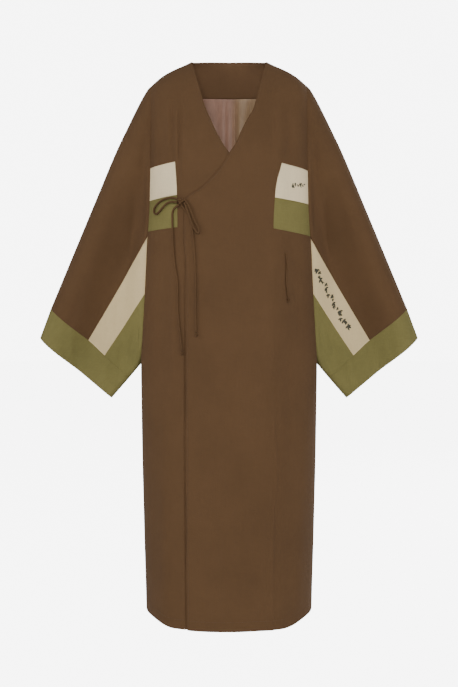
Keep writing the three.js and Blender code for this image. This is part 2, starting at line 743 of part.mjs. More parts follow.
function cord(name, route, diameter, sides) {
  const lay = ([x, above, z]) => new THREE.Vector3(x, clothY(x, z, 2.5) + FACET_SAG - above - diameter / 2, z);
  const path = new THREE.CatmullRomCurve3(route.map(lay), false, 'centripetal');
  const circle = new THREE.Shape();
  for (let i = 0; i < sides; i += 1) {
    const a = (2 * Math.PI * (i + 0.5)) / sides;
    const x = (diameter / 2) * Math.cos(a);
    const y = (diameter / 2) * Math.sin(a);
    if (i === 0) circle.moveTo(x, y);
    else circle.lineTo(x, y);
  }
  circle.closePath();
  const steps = Math.ceil(path.getLength() / (2.3 * diameter));
  const options = { steps, bevelEnabled: false, extrudePath: path, curveSegments: 1 };
  add(name, new THREE.ExtrudeGeometry(circle, options), 'tie', 0.85);
}

function knot(name, [x, above, z], [rx, ry, rz]) {
  const ball = new THREE.SphereGeometry(1, 12, 8);
  ball.scale(rx, ry, rz);
  ball.translate(x, clothY(x, z, 2.5) + FACET_SAG - above - ry, z);
  add(name, ball, 'tie', 0.85);
}

knot('tie_knot', [-110.6, 4.4, -314], [7.6, 5, 7]);
cord('tie_loop_side', LOOP_SIDE, TIE_D, 8);
cord('tie_loop_centre', LOOP_CENTRE, TIE_D, 8);
cord('tie_tail_side', TAIL_SIDE, TIE_D, 8);
cord('tie_tail_centre', TAIL_CENTRE, TIE_D, 8);
cord('side_string', SIDE_STRING, STRING_D, 8);
knot('tail_side_knot', [-106.8, 0.6, -660.4], [4.2, 4, 5]);
knot('tail_centre_knot', [-74.4, 0.8, -618.4], [4.2, 4, 5]);
knot('side_string_knot', [136.9, 0.5, -541], [3.6, 3.4, 4.6]);

export default group;
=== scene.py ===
"""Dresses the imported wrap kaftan: cloth, seams, sewing, ties, sprigs and a plain studio."""
import math

import bmesh
import bpy
import numpy as np
from bpy.props import FloatProperty, FloatVectorProperty, PointerProperty
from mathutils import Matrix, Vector


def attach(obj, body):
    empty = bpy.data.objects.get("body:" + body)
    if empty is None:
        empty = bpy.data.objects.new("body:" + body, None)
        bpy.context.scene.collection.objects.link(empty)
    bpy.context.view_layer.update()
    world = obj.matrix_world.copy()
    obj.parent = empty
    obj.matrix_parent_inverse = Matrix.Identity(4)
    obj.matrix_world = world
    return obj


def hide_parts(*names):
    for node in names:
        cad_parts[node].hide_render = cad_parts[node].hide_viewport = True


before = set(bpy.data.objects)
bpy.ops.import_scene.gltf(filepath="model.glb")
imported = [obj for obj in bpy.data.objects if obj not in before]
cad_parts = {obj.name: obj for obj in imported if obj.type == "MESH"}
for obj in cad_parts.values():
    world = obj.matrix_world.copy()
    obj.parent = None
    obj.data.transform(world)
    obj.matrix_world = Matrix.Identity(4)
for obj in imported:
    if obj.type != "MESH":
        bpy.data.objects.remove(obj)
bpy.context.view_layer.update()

bl_info = {
    "name": "Wrap kaftan dressing",
    "version": (1, 0, 0),
    "blender": (4, 5, 0),
    "location": "View3D > Sidebar > Kaftan",
    "description": "Cloth, seams, sewing, ties and studio of a long wrap kaftan",
    "category": "Object",
}

BODY_NAME = "root"

# ---- driving sizes, in metres: +X the wearer's left, +Y the back, +Z up ----
SEAM_GAP = 0.00003  # between pieces that lie side by side
EDGE_LAP = 0.00006  # front over back at the shoulder and side seams
ARMHOLE_LAP = 0.00025  # sleeve over body
OVERLAP_LIFT = 0.0038
SECTION_POWER = 2.4
NECK_HALF, NECK_Z, NECK_CENTRE_Z, NECK_ROUND = 0.090, 0.030, 0.0395, 0.024
TIP_HALF, TIP_Z, TIP_BULGE = 0.186, -0.028, 0.007
HEM_Z, HEM_RISE, HEM_FROM, HEM_OVER = -1.287, 0.015, 0.124, 0.068
UNDERARM_Z = -0.6935
ARM_TOP, ARM_CUFF, ARM_FLAT, ARM_FALLOFF, ARM_EDGE, ARM_SET = 0.047, 0.041, 0.009, 0.088, 0.012, 0.014
CUFF_OUTER, CUFF_LOWER = (0.455, -0.632), (0.2827, -0.7773)
FACING_GAP = 0.00036
LINING_HALF, LINING_BOTTOM = 0.104, -0.330
LINING_TUCK, LINING_GAP, LINING_NEAREST = 0.0022, 0.0017, 0.0008
LINING_DROP, LINING_DROP_RUN = 0.0022, 0.12  # it swings clear of the facing below its seam
PLEAT_GROWTH = (0.1, 1.3)
CLOTH_STEP = 0.0056
LINING_COLUMNS, LINING_ROWS = 131, 56
SLEEVE_STEPS, CUFF_ROWS = 88, 17
SHARP_EDGE = 62  # degrees
EDGE_ROLL, EDGE_ROLL_WIDTH = 0.0017, 0.0034
FREE_EDGE, LINING_EDGE, SEWN_EDGE = 0.0004, 0.0003, 0.00008  # rounding of a wall's edges
CORD_SEAT = 0.0009  # how far a cord beds into the cloth that it lies on
TINY = 1e-6

# Rounding of the shoulders: reach below the shoulder line and power, at the neck and at the tip.
TIP_FADE = (0.095, 0.090)
FRONT_REACH, FRONT_POWERS = (0.240, 0.080), (1.7, 1.9)
BACK_REACH, BACK_POWER = (0.190, 0.080), 2
SLOT_RUN = 0.040  # how far below the shoulder's tip the armhole takes its own line

# Long folds of the hanging cloth: place across, width, height.
FRONT_FOLDS = [(-0.150, 0.022, 0.005), (0.152, 0.024, 0.004), (0.060, 0.030, -0.003)]
BACK_FOLDS = [
    (-0.062, 0.026, 0.007),
    (0.074, 0.028, 0.006),
    (0.006, 0.026, -0.004),
    (0.142, 0.018, 0.005),
    (-0.136, 0.018, 0.005),
]

# Fades, each with its start and its run: down from the mount, then down from the shoulder line.
FRONT_FOLD_FADE, BACK_FOLD_FADE = (0.620, 0.560), (0.420, 0.760)
PULL_FADE, PRINT_FADE, TUCK_FADE = (0.090, 0.060), (0.760, 0.090), (0.330, 0.300)
CREASE_FADE, LIFT_FADE, ROLL_FADE = (0.020, 0.060), (0.006, 0.090), (0.004, 0.030)
LIFT_END = (0.116, 0.028)  # across, towards the wearer's left
SIDE_RUN = 0.026  # creases die out over this run beside the armhole and side seams
CREASE_OVERRUN, CREASE_RUN = 0.22, 0.5
RIPPLE_LONG, RIPPLE_SHORT = 0.00055, 0.00022

# Marks of the sewing and of the layer below, in place across, width and height.
PULL_INSET, PULL_WIDTH, PULL_HEIGHT = 0.0022, 0.0030, 0.0011
PRINT_RIDGES = [(-0.003, 0.0034, 0.0015), (0.003, 0.0028, -0.0013)]
PRINT_STEP, PRINT_STEP_RISE, PRINT_STEP_END = 0.0012, 0.010, 0.05
TUCK_OFFSET, TUCK_WIDTH, TUCK_DEPTH = 0.0012, 0.0022, 0.0032


def table(columns, *rows):
    """A short table with named columns, as arrays."""
    return {name: np.array([row[i] for row in rows]) for i, name in enumerate(columns.split())}


# Body sections: half width, depth forward and back of the side seam plane.
BODY = table(
    "z half front back",
    (0.060, 0.199, 0.099, 0.092),
    (0.000, 0.199, 0.101, 0.096),
    (-0.109, 0.195, 0.111, 0.103),
    (-0.231, 0.194, 0.124, 0.110),
    (-0.301, 0.1947, 0.130, 0.112),
    (-0.392, 0.1985, 0.131, 0.114),
    (-0.541, 0.2045, 0.137, 0.122),
    (-0.700, 0.2106, 0.145, 0.134),
    (-0.781, 0.2095, 0.148, 0.138),
    (-0.925, 0.2070, 0.154, 0.143),
    (-1.021, 0.2045, 0.156, 0.146),
    (-1.117, 0.2020, 0.159, 0.149),
    (-1.213, 0.1990, 0.161, 0.151),
    (-1.300, 0.1968, 0.162, 0.152),
)
ARMHOLE = table(
    "z depth",
    (0.000, 0.046),
    (-0.231, 0.048),
    (-0.308, 0.049),
    (-0.385, 0.046),
    (-0.402, 0.041),
    (-0.541, 0.040),
    (-0.640, 0.037),
    (-0.672, 0.028),
    (-0.687, 0.015),
    (UNDERARM_Z, 0.000),
)
# Rows of the fronts: height at the armhole or side seam, and at the free front edge.
ROWS = table(
    "side_right side_left edge_right edge_left",
    (-0.028, -0.028, 0.030, 0.030),
    (-0.031, -0.031, 0.026, 0.026),
    (-0.038, -0.038, 0.017, 0.017),
    (-0.050, -0.050, 0.002, 0.002),
    (-0.068, -0.068, -0.020, -0.022),
    (-0.1045, -0.1045, -0.062, -0.066),
    (-0.137, -0.138, -0.102, -0.110),
    (-0.176, -0.179, -0.146, -0.156),
    (-0.231, -0.2365, -0.201, -0.2024),
    (-0.269, -0.276, -0.237, -0.231),
    (-0.308, -0.3158, -0.273, -0.284),
    (-0.344, -0.353, -0.312, -0.313),
    (-0.380, -0.391, -0.352, -0.343),
    (-0.392, -0.3965, -0.366, -0.361),
    (-0.435, -0.436, -0.412, -0.409),
    (-0.480, -0.480, -0.462, -0.460),
    (-0.527, -0.527, -0.515, -0.515),
    (-0.580, -0.580, -0.575, -0.575),
    (-0.640, -0.640, -0.640, -0.640),
    (-0.672, -0.672, -0.674, -0.674),
    (-0.687, -0.687, -0.690, -0.690),
    (UNDERARM_Z, UNDERARM_Z, -0.697, -0.697),
    (-0.740, -0.740, -0.745, -0.745),
    (-0.800, -0.800, -0.806, -0.806),
    (-0.870, -0.870, -0.878, -0.878),
    (-0.940, -0.940, -0.950, -0.950),
    (-1.010, -1.010, -1.022, -1.022),
    (-1.080, -1.080, -1.093, -1.093),
    (-1.150, -1.150, -1.163, -1.163),
    (-1.215, -1.215, -1.229, -1.229),
    (-1.272, -1.272, -1.287, -1.287),
)
LAST_ROW = len(ROWS["side_left"]) - 1

# Rows of the seams: insets, then sleeve pieces, then the facing's lower edge.
PATCH_TOP, PATCH_MIDDLE, PATCH_BOTTOM = 8, 10, 12
STRIP_ROW, GUSSET_ROW, UNDERARM_ROW = 13, 16, 21
FACING_ROW = 5

# Free front edges: neck, wrap diagonal, then the long vertical edge.
EDGE_RIGHT = table(
    "z x",
    (0.030, -0.090),
    (-0.0674, -0.0626),
    (-0.094, -0.0547),
    (-0.1238, -0.0421),
    (-0.1528, -0.0295),
    (-0.1783, -0.0156),
    (-0.2024, 0.0011),
    (-0.273, 0.066),
    (-0.312, 0.092),
    (-0.352, 0.101),
    (-0.412, 0.104),
    (-0.822, 0.105),
    (-0.927, 0.111),
    (-1.032, 0.104),
    (-1.156, 0.101),
    (-1.300, 0.100),
)
EDGE_LEFT = table(
    "z x",
    (0.030, 0.090),
    (-0.0674, 0.0649),
    (-0.098, 0.056),
    (-0.1187, 0.0445),
    (-0.1528, 0.0272),
    (-0.1784, 0.0166),
    (-0.2024, 0.0011),
    (-0.227, -0.0126),
    (-0.282, -0.0619),
    (-0.300, -0.0904),
    (-0.313, -0.104),
    (-0.4027, -0.1038),
    (-0.467, -0.099),
    (-0.6766, -0.0983),
    (-0.993, -0.0975),
    (-1.300, -0.0945),
)
# Inner edge of the chest insets, also the line that parts each front's columns.
INSET_RIGHT = table(
    "z x",
    (-0.028, 0.140),
    (-0.222, 0.1254),
    (-0.299, 0.1201),
    (-0.373, 0.1185),
    (-1.300, 0.124),
)
INSET_LEFT = table(
    "z x",
    (-0.028, 0.140),
    (-0.228, 0.123),
    (-0.305, 0.1064),
    (-0.374, 0.1022),
    (-0.391, 0.102),
    (-0.436, 0.112),
    (-0.560, 0.116),
    (-1.300, 0.116),
)

# Columns, as shares of the width: side seam to inset, inset to free edge, back from its middle out.
SIDE_SHARES = [0, 0.03, 0.12, 0.35, 0.65, 1]
CENTRE_SHARES = [0, 0.16, 0.33, 0.5, 0.66, 0.83, 1]
INSET_COLUMN = len(SIDE_SHARES) - 1
LAST_COLUMN = INSET_COLUMN + len(CENTRE_SHARES) - 1
HALF_BACK = [1, 0.99, 0.96, 0.885, 0.75, 0.61, 0.4839, 0.33, 0.16]
BACK_SHARES = [-s for s in HALF_BACK] + [0] + HALF_BACK[::-1]
BACK_LEVEL = [0, 0.1, 0.25, 0.45, 0.65, 0.8, 0.7, 0.5, 0.3, 0.15, 0]
FACING_COLUMNS = (5, 13)

# Rise of a sleeve's upper fold above a straight line, along the sleeve.
FOLD_BOW = table(
    "t rise",
    (0, 0),
    (0.038, 0.0113),
    (0.0973, 0.0186),
    (0.1467, 0.022),
    (0.2333, 0.0255),
    (0.3405, 0.029),
    (0.55, 0.021),
    (0.7588, 0.012),
    (1, 0),
)
SLEEVE_KNOTS = [0, 0.04, 0.1, 0.18, 0.28, 0.4, 0.55, 0.7, 0.85, 1]

# Line of the cuff band's seam: sleeve row and place.
BAND = table(
    "row x z",
    (0, 0.429, -0.5617),
    (STRIP_ROW, 0.3379, -0.638),
    (GUSSET_ROW, 0.2993, -0.6749),
    (UNDERARM_ROW, 0.2399, -0.728),
)

# Soft creases: from (x1, z1) to (x2, z2), half width and height; a trough is negative.
FRONT_CREASES = table(
    "x1 z1 x2 z2 width height",
    (-0.1225, -0.085, -0.121, -0.225, 0.0040, 0.0022),
    (-0.134, -0.090, -0.132, -0.220, 0.0040, -0.0036),
    (-0.112, -0.095, -0.115, -0.240, 0.0038, -0.0032),
    (-0.152, -0.110, -0.150, -0.215, 0.008, -0.0018),
    (-0.170, -0.090, -0.176, -0.230, 0.007, 0.0018),
    (0.141, -0.110, 0.137, -0.225, 0.011, -0.0036),
    (0.116, -0.090, 0.114, -0.235, 0.012, 0.0020),
    (0.168, -0.090, 0.173, -0.225, 0.008, 0.0022),
    (0.151, -0.410, 0.158, -0.630, 0.017, -0.0060),
    (0.100, -0.380, 0.099, -0.720, 0.015, 0.0034),
    (-0.150, -0.420, -0.156, -0.700, 0.018, -0.0034),
    (-0.128, -0.500, -0.130, -0.760, 0.010, 0.0018),
    (-0.088, -0.400, -0.087, -0.600, 0.005, -0.0014),
    (0.050, -0.458, 0.066, -0.461, 0.004, -0.0009),
    (-0.026, -0.495, -0.010, -0.489, 0.004, -0.0007),
    (0.070, -0.520, 0.074, -0.820, 0.018, 0.0018),
    (0.128, -0.560, 0.131, -0.880, 0.018, -0.0024),
    (0.156, -0.800, 0.150, -1.060, 0.020, -0.0024),
    (0.168, -1.020, 0.164, -1.230, 0.016, 0.0018),
    (-0.162, -0.820, -0.161, -0.858, 0.005, -0.0014),
    (-0.140, -0.880, -0.146, -1.200, 0.020, 0.0020),
    (-0.170, -0.960, -0.168, -1.230, 0.014, -0.0018),
    (-0.040, -0.930, -0.034, -1.230, 0.030, -0.0024),
    (0.012, -0.640, 0.006, -0.960, 0.032, 0.0016),
    (0.058, -1.020, 0.062, -1.260, 0.022, -0.0020),
    (-0.010, -1.060, -0.004, -1.280, 0.018, 0.0014),
)
BACK_CREASES = table(
    "x1 z1 x2 z2 width height",
    (-0.118, -0.090, -0.112, -0.310, 0.011, -0.0022),
    (-0.090, -0.110, -0.094, -0.340, 0.012, 0.0016),
    (0.126, -0.085, 0.120, -0.290, 0.010, -0.0024),
    (0.100, -0.120, 0.098, -0.360, 0.013, 0.0015),
    (0.164, -0.120, 0.170, -0.300, 0.009, 0.0014),
    (-0.160, -0.140, -0.168, -0.330, 0.009, 0.0012),
    (-0.020, -0.240, -0.014, -0.560, 0.024, -0.0020),
    (0.034, -0.330, 0.040, -0.700, 0.020, 0.0018),
    (-0.132, -0.420, -0.140, -0.690, 0.018, -0.0028),
    (0.146, -0.400, 0.152, -0.720, 0.020, -0.0026),
    (-0.082, -0.560, -0.078, -0.960, 0.022, 0.0024),
    (0.088, -0.620, 0.092, -1.020, 0.020, -0.0026),
    (0.020, -0.800, 0.012, -1.220, 0.026, 0.0022),
    (-0.034, -0.840, -0.038, -1.260, 0.018, -0.0022),
    (0.158, -0.900, 0.152, -1.230, 0.018, 0.0020),
    (-0.152, -0.860, -0.150, -1.180, 0.020, 0.0020),
    (0.122, -1.020, 0.124, -1.260, 0.012, -0.0018),
    (-0.110, -0.980, -0.112, -1.260, 0.012, -0.0020),
)
# Sleeve creases lie on the wearer's right or left, front or back; x is taken without its sign.
SLEEVE_CREASES = {
    (False, True): table(
        "x1 z1 x2 z2 width height",
        (0.309, -0.300, 0.371, -0.500, 0.018, 0.0030),
        (0.236, -0.200, 0.300, -0.470, 0.020, -0.0030),
        (0.197, -0.170, 0.207, -0.400, 0.011, -0.0046),
        (0.214, -0.330, 0.232, -0.440, 0.012, -0.0020),
        (0.352, -0.520, 0.376, -0.600, 0.012, -0.0016),
        (0.266, -0.530, 0.274, -0.615, 0.006, -0.0016),
        (0.2155, -0.600, 0.219, -0.655, 0.0045, -0.0022),
        (0.226, -0.625, 0.236, -0.668, 0.006, 0.0016),
        (0.258, -0.650, 0.264, -0.716, 0.008, -0.0018),
        (0.290, -0.690, 0.301, -0.742, 0.007, 0.0014),
        (0.372, -0.600, 0.380, -0.690, 0.010, 0.0020),
        (0.330, -0.640, 0.342, -0.722, 0.010, -0.0016),
    ),
    (True, True): table(
        "x1 z1 x2 z2 width height",
        (0.300, -0.290, 0.362, -0.480, 0.018, 0.0028),
        (0.232, -0.210, 0.292, -0.450, 0.020, -0.0030),
        (0.196, -0.170, 0.206, -0.400, 0.011, -0.0050),
        (0.214, -0.320, 0.230, -0.430, 0.012, -0.0022),
        (0.366, -0.500, 0.392, -0.580, 0.012, -0.0016),
        (0.300, -0.540, 0.318, -0.620, 0.010, 0.0010),
        (0.217, -0.600, 0.2205, -0.652, 0.0045, -0.0022),
        (0.229, -0.620, 0.240, -0.668, 0.006, 0.0015),
        (0.250, -0.640, 0.262, -0.706, 0.008, -0.0016),
        (0.286, -0.690, 0.296, -0.746, 0.007, 0.0014),
        (0.378, -0.598, 0.388, -0.682, 0.010, -0.0018),
        (0.340, -0.640, 0.350, -0.716, 0.010, 0.0016),
    ),
    (False, False): table(
        "x1 z1 x2 z2 width height",
        (0.290, -0.270, 0.348, -0.470, 0.018, 0.0030),
        (0.230, -0.220, 0.268, -0.430, 0.018, -0.0032),
        (0.250, -0.420, 0.300, -0.580, 0.014, 0.0022),
        (0.222, -0.470, 0.252, -0.630, 0.010, -0.0022),
        (0.350, -0.500, 0.380, -0.620, 0.014, -0.0018),
        (0.282, -0.640, 0.296, -0.740, 0.010, 0.0016),
    ),
    (True, False): table(
        "x1 z1 x2 z2 width height",
        (0.284, -0.260, 0.340, -0.460, 0.020, 0.0028),
        (0.228, -0.230, 0.264, -0.420, 0.016, -0.0030),
        (0.262, -0.430, 0.312, -0.590, 0.014, -0.0022),
        (0.226, -0.480, 0.250, -0.640, 0.010, 0.0020),
        (0.362, -0.490, 0.394, -0.610, 0.014, 0.0018),
        (0.300, -0.650, 0.312, -0.736, 0.010, -0.0016),
    ),
}
# Pleats of the lining: place, half width, depth towards the front.
PLEATS = table(
    "x width depth",
    (-0.088, 0.015, 0.005),
    (-0.034, 0.019, 0.007),
    (0.033, 0.015, 0.011),
    (0.084, 0.016, 0.008),
    (0.0137, 0.0040, -0.0045),
    (0.0530, 0.0050, -0.0050),
    (-0.0100, 0.0050, 0.0020),
    (-0.0620, 0.0060, -0.0030),
    (0.0250, 0.0040, 0.0018),
)

# Routes of the free cords: x, clearance above the cloth, z.
LOOP_SIDE = [
    (-0.117, 0.0062, -0.309),
    (-0.1285, 0.0038, -0.3058),
    (-0.1375, 0.0028, -0.3056),
    (-0.147, 0.0022, -0.3074),
    (-0.157, 0.0018, -0.3112),
    (-0.165, 0.0015, -0.3166),
    (-0.171, 0.0013, -0.323),
    (-0.1748, 0.0008, -0.331),
    (-0.1738, 0.0006, -0.338),
    (-0.169, 0.0007, -0.341),
    (-0.163, 0.0014, -0.3375),
    (-0.156, 0.0018, -0.33),
    (-0.1485, 0.0022, -0.322),
    (-0.141, 0.0027, -0.317),
    (-0.133, 0.0036, -0.315),
    (-0.1189, 0.0062, -0.316),
]
LOOP_CENTRE = [
    (-0.1021, 0.0036, -0.3178),
    (-0.0975, 0.005, -0.329),
    (-0.0923, 0.0064, -0.344),
    (-0.0864, 0.0062, -0.361),
    (-0.0806, 0.0052, -0.3745),
    (-0.0754, 0.0043, -0.3842),
    (-0.072, 0.0039, -0.3874),
    (-0.0692, 0.0037, -0.3864),
    (-0.0682, 0.0036, -0.3815),
    (-0.0706, 0.0037, -0.374),
    (-0.0754, 0.0039, -0.365),
    (-0.0816, 0.0042, -0.3515),
    (-0.0866, 0.0045, -0.338),
    (-0.0924, 0.004, -0.3245),
    (-0.1026, 0.003, -0.3096),
]
TAIL_SIDE = [
    (-0.1136, 0.0052, -0.3219),
    (-0.120, 0.0034, -0.3256),
    (-0.126, 0.0017, -0.3304),
    (-0.1294, 0.0009, -0.338),
    (-0.1302, 0.0009, -0.355),
    (-0.1296, 0.0009, -0.378),
    (-0.1286, 0.0009, -0.405),
    (-0.1272, 0.0009, -0.432),
    (-0.1236, 0.0009, -0.466),
    (-0.119, 0.0009, -0.492),
    (-0.1174, 0.0009, -0.525),
    (-0.117, 0.0009, -0.560),
    (-0.1146, 0.0009, -0.592),
    (-0.1112, 0.0009, -0.622),
    (-0.1082, 0.0009, -0.645),
    (-0.1072, 0.0009, -0.655),
]
TAIL_CENTRE = [
    (-0.1094, 0.0034, -0.3218),
    (-0.1015, 0.0018, -0.333),
    (-0.092, 0.0015, -0.346),
    (-0.0866, 0.0015, -0.362),
    (-0.0834, 0.0015, -0.383),
    (-0.0814, 0.0015, -0.405),
    (-0.080, 0.0015, -0.419),
    (-0.0792, 0.0015, -0.432),
    (-0.077, 0.0015, -0.466),
    (-0.0762, 0.0015, -0.500),
    (-0.076, 0.0015, -0.535),
    (-0.0758, 0.0015, -0.570),
    (-0.0752, 0.0015, -0.595),
    (-0.0749, 0.0015, -0.604),
    (-0.0746, 0.0015, -0.613),
]
SIDE_STRING = [
    (0.131, 0.0004, -0.433),
    (0.1315, 0.0004, -0.439),
    (0.1322, 0.0004, -0.446),
    (0.1329, 0.0004, -0.453),
    (0.1334, 0.0004, -0.460),
    (0.1331, 0.0004, -0.467),
    (0.1328, 0.0004, -0.474),
    (0.1326, 0.0004, -0.480),
    (0.1323, 0.0004, -0.490),
    (0.1322, 0.0004, -0.500),
    (0.1329, 0.0004, -0.510),
    (0.134, 0.0004, -0.520),
    (0.1346, 0.0004, -0.525),
    (0.1354, 0.0004, -0.530),
    (0.1362, 0.0004, -0.536),
]

SHEETS = {}  # finished cloth grids by name: points and outward normals


# ---- helpers ----
def lerp(a, b, t):
    """Linear mix of two values."""
    return a + (b - a) * t


def smooth(v):
    """Smooth step from 0 to 1."""
    t = np.clip(v, 0, 1)
    return t * t * (3 - 2 * t)


def read(rows, by, key, at):
    """Monotone cubic reading of a table's column by another column."""
    knots, values = rows[by], rows[key]
    if knots[0] > knots[-1]:
        knots, values = knots[::-1], values[::-1]
    width = np.diff(knots)
    slope = np.diff(values) / width
    product = slope[:-1] * slope[1:]
    total = np.where(product > 0, slope[:-1] + slope[1:], 1)
    inner = np.where(product > 0, 2 * product / total, 0)
    tangent = np.concatenate([slope[:1], inner, slope[-1:]])
    x = np.clip(at, knots[0], knots[-1])
    i = np.clip(np.searchsorted(knots, x, side="right") - 1, 0, len(width) - 1)
    t = (x - knots[i]) / width[i]
    return (
        (2 * t**3 - 3 * t**2 + 1) * values[i]
        + (t**3 - 2 * t**2 + t) * width[i] * tangent[i]
        + (3 * t**2 - 2 * t**3) * values[i + 1]
        + (t**3 - t**2) * width[i] * tangent[i + 1]
    )


def spread(knots, counts, crowd_first=1.0, crowd_last=1.0):
    """Places along a row of knots, so many to each cell; the end cells may crowd outwards."""
    places = [knots[0]]
    for i, count in enumerate(counts):
        share = np.arange(1, count + 1) / count
        if i == 0:
            share = share**crowd_first
        if i == len(counts) - 1:
            share = 1 - (1 - share) ** crowd_last
        places.extend(lerp(knots[i], knots[i + 1], share))
    return np.array(places)


# ---- body form ----
def shoulder_z(x):
    """Height of the shoulder line, carried on over the neck."""
    a = np.abs(x)
    fall = (NECK_Z - TIP_Z) / (TIP_HALF - NECK_HALF)
    inside = NECK_Z + fall * (math.hypot(NECK_HALF, NECK_ROUND) - np.hypot(a, NECK_ROUND))
    s = np.clip((a - NECK_HALF) / (TIP_HALF - NECK_HALF), 0, 1)
    outside = NECK_Z - fall * (a - NECK_HALF) + TIP_BULGE * np.sin(np.pi * s**1.4)
    return np.where(a < NECK_HALF, inside, outside)


def rise(h, reach, power):
    """Share of the full depth that the cloth has at a height h below the shoulder line."""
    t = np.clip(h / reach, 0, 1)
    return (1 - (1 - t) ** power) ** (1 / power)


def roundness(x, z):
    """Share of the full depth across a body section."""
    u = np.clip(np.abs(x) / read(BODY, "z", "half", z), 0, 1)
    return (1 - u**SECTION_POWER) ** (1 / SECTION_POWER)


def fade_in(distance, start, run):
    """Share that grows from 0 at the start to 1 at the end of a run."""
    return smooth((distance - start) / run)


def long_folds(x, folds):
    """Bell curves across long folds, each with its place, width and height."""
    return sum(height * np.exp(-(((x - at) / width) ** 2)) for at, width, height in folds)


def front_form(x, z):
    """Front of the body without creases."""
    to_tip = fade_in(np.abs(x), *TIP_FADE)
    shape = rise(shoulder_z(x) - z, lerp(*FRONT_REACH, to_tip), lerp(*FRONT_POWERS, to_tip))
    low = fade_in(-z, *FRONT_FOLD_FADE)
    folds = long_folds(x, FRONT_FOLDS)
    return -(read(BODY, "z", "front", z) * shape + folds * low) * roundness(x, z)


def back_form(x, z):
    """Back of the body without creases."""
    to_tip = fade_in(np.abs(x), *TIP_FADE)
    shape = rise(shoulder_z(x) - z, lerp(*BACK_REACH, to_tip), BACK_POWER)
    low = fade_in(-z, *BACK_FOLD_FADE)
    folds = long_folds(x, BACK_FOLDS)
    return (read(BODY, "z", "back", z) * shape + folds * low) * roundness(x, z)


def overlap_lift(x, z):
    """Distance of the overlapping front off the front below it."""
    across = 1 - fade_in(x, *LIFT_END)
    down = fade_in(shoulder_z(x) - z, *LIFT_FADE)
    return OVERLAP_LIFT * across * down


def panel_half(z):
    """Outer limit of a front or back: armhole edge, then side seam."""
    half = read(BODY, "z", "half", z)
    share = read(ARMHOLE, "z", "depth", z) / read(BODY, "z", "front", z)
    slot = half * (1 - share**SECTION_POWER) ** (1 / SECTION_POWER)
    slot = np.minimum(slot, lerp(TIP_HALF, slot, smooth((TIP_Z - z) / SLOT_RUN)))
    return np.where(z <= UNDERARM_Z, half, slot)


def hem_z(x):
    """Height of the hem, which curves up at the sides."""
    return HEM_Z + HEM_RISE * fade_in(np.abs(x), HEM_FROM, HEM_OVER)


# ---- creases ----
def crease_height(x, z, creases):
    """Sum of soft ridges and troughs along lines that fade at both ends."""
    total = np.zeros(np.broadcast(x, z).shape)
    for x1, z1, x2, z2, width, height in zip(*creases.values()):
        run = math.hypot(x2 - x1, z2 - z1)
        along = ((x - x1) * (x2 - x1) + (z - z1) * (z2 - z1)) / run**2
        across = ((x - x1) * (z2 - z1) - (z - z1) * (x2 - x1)) / run
        begin = smooth((along + CREASE_OVERRUN) / CREASE_RUN)
        fade = begin * smooth((1 + CREASE_OVERRUN - along) / CREASE_RUN)
        total = total + height * fade * np.exp(-((across / width) ** 2))
    return total


def ripple(x, z, turn):
    """Faint unevenness of hanging cloth, a fraction of a millimetre high."""
    long_wave = np.sin(61 * x + 9 * z + turn) * np.sin(11 * z + 2 * turn + 7 * x)
    short_wave = np.sin(23 * z + 97 * x + 3 * turn) * np.sin(31 * z - 43 * x + turn)
    return RIPPLE_LONG * long_wave + RIPPLE_SHORT * short_wave


def body_fade(x, z):
    """Creases die out at the shoulder, armhole and side seams."""
    off_side = smooth((panel_half(z) - np.abs(x)) / SIDE_RUN)
    off_shoulder = fade_in(shoulder_z(x) - z, *CREASE_FADE)
    return off_side * off_shoulder


def edge_roll(left, x, z):
    """The free edge turns back towards the body."""
    edge = EDGE_LEFT if left else EDGE_RIGHT
    step = 0.004
    lean = (read(edge, "z", "x", z + step) - read(edge, "z", "x", z - step)) / (2 * step)
    inward = (x - read(edge, "z", "x", z)) * (1 if left else -1) / np.hypot(1, lean)
    off_shoulder = fade_in(shoulder_z(x) - z, *ROLL_FADE)
    return EDGE_ROLL * np.exp(-((np.maximum(inward, 0) / EDGE_ROLL_WIDTH) ** 2)) * off_shoulder


def seam_pull(x, z):
    """The armhole seam draws the cloth in a little beside it."""
    inside = panel_half(z) - np.abs(x) - PULL_INSET
    return PULL_HEIGHT * np.exp(-((inside / PULL_WIDTH) ** 2)) * fade_in(-z, *PULL_FADE)


def underlap_print(x, z):
    """The long edge of the front below shows through as a narrow ridge and a step."""
    beside = x - read(EDGE_RIGHT, "z", "x", z)
    fade = fade_in(-z, *PRINT_FADE) * (0.75 + 0.25 * np.sin(27 * z))
    step = smooth(beside / PRINT_STEP_RISE) * (1 - fade_in(beside, PRINT_STEP_RISE, PRINT_STEP_END))
    return (long_folds(beside, PRINT_RIDGES) - PRINT_STEP * step) * fade


def front_crease(x, z):
    """All that stands off the plain front."""
    depth = cloth_settings().crease
    return depth * body_fade(x, z) * (crease_height(x, z, FRONT_CREASES) + ripple(x, z, 0.4))


def front_y(left, x, z):
    """Outer face of a front, with its creases; the right one tucks in beside the overlap's edge."""
    y = front_form(x, z) - front_crease(x, z) + edge_roll(left, x, z) + seam_pull(x, z)
    if left:
        return y - overlap_lift(x, z) - underlap_print(x, z)
    beside = x - read(EDGE_LEFT, "z", "x", z) + TUCK_OFFSET
    return y + TUCK_DEPTH * np.exp(-((beside / TUCK_WIDTH) ** 2)) * fade_in(-z, *TUCK_FADE)


def back_y(x, z):
    """Outer face of the back, with its creases."""
    depth = cloth_settings().crease
    return back_form(x, z) + depth * body_fade(x, z) * (crease_height(x, z, BACK_CREASES) + ripple(x, z, 1.7))


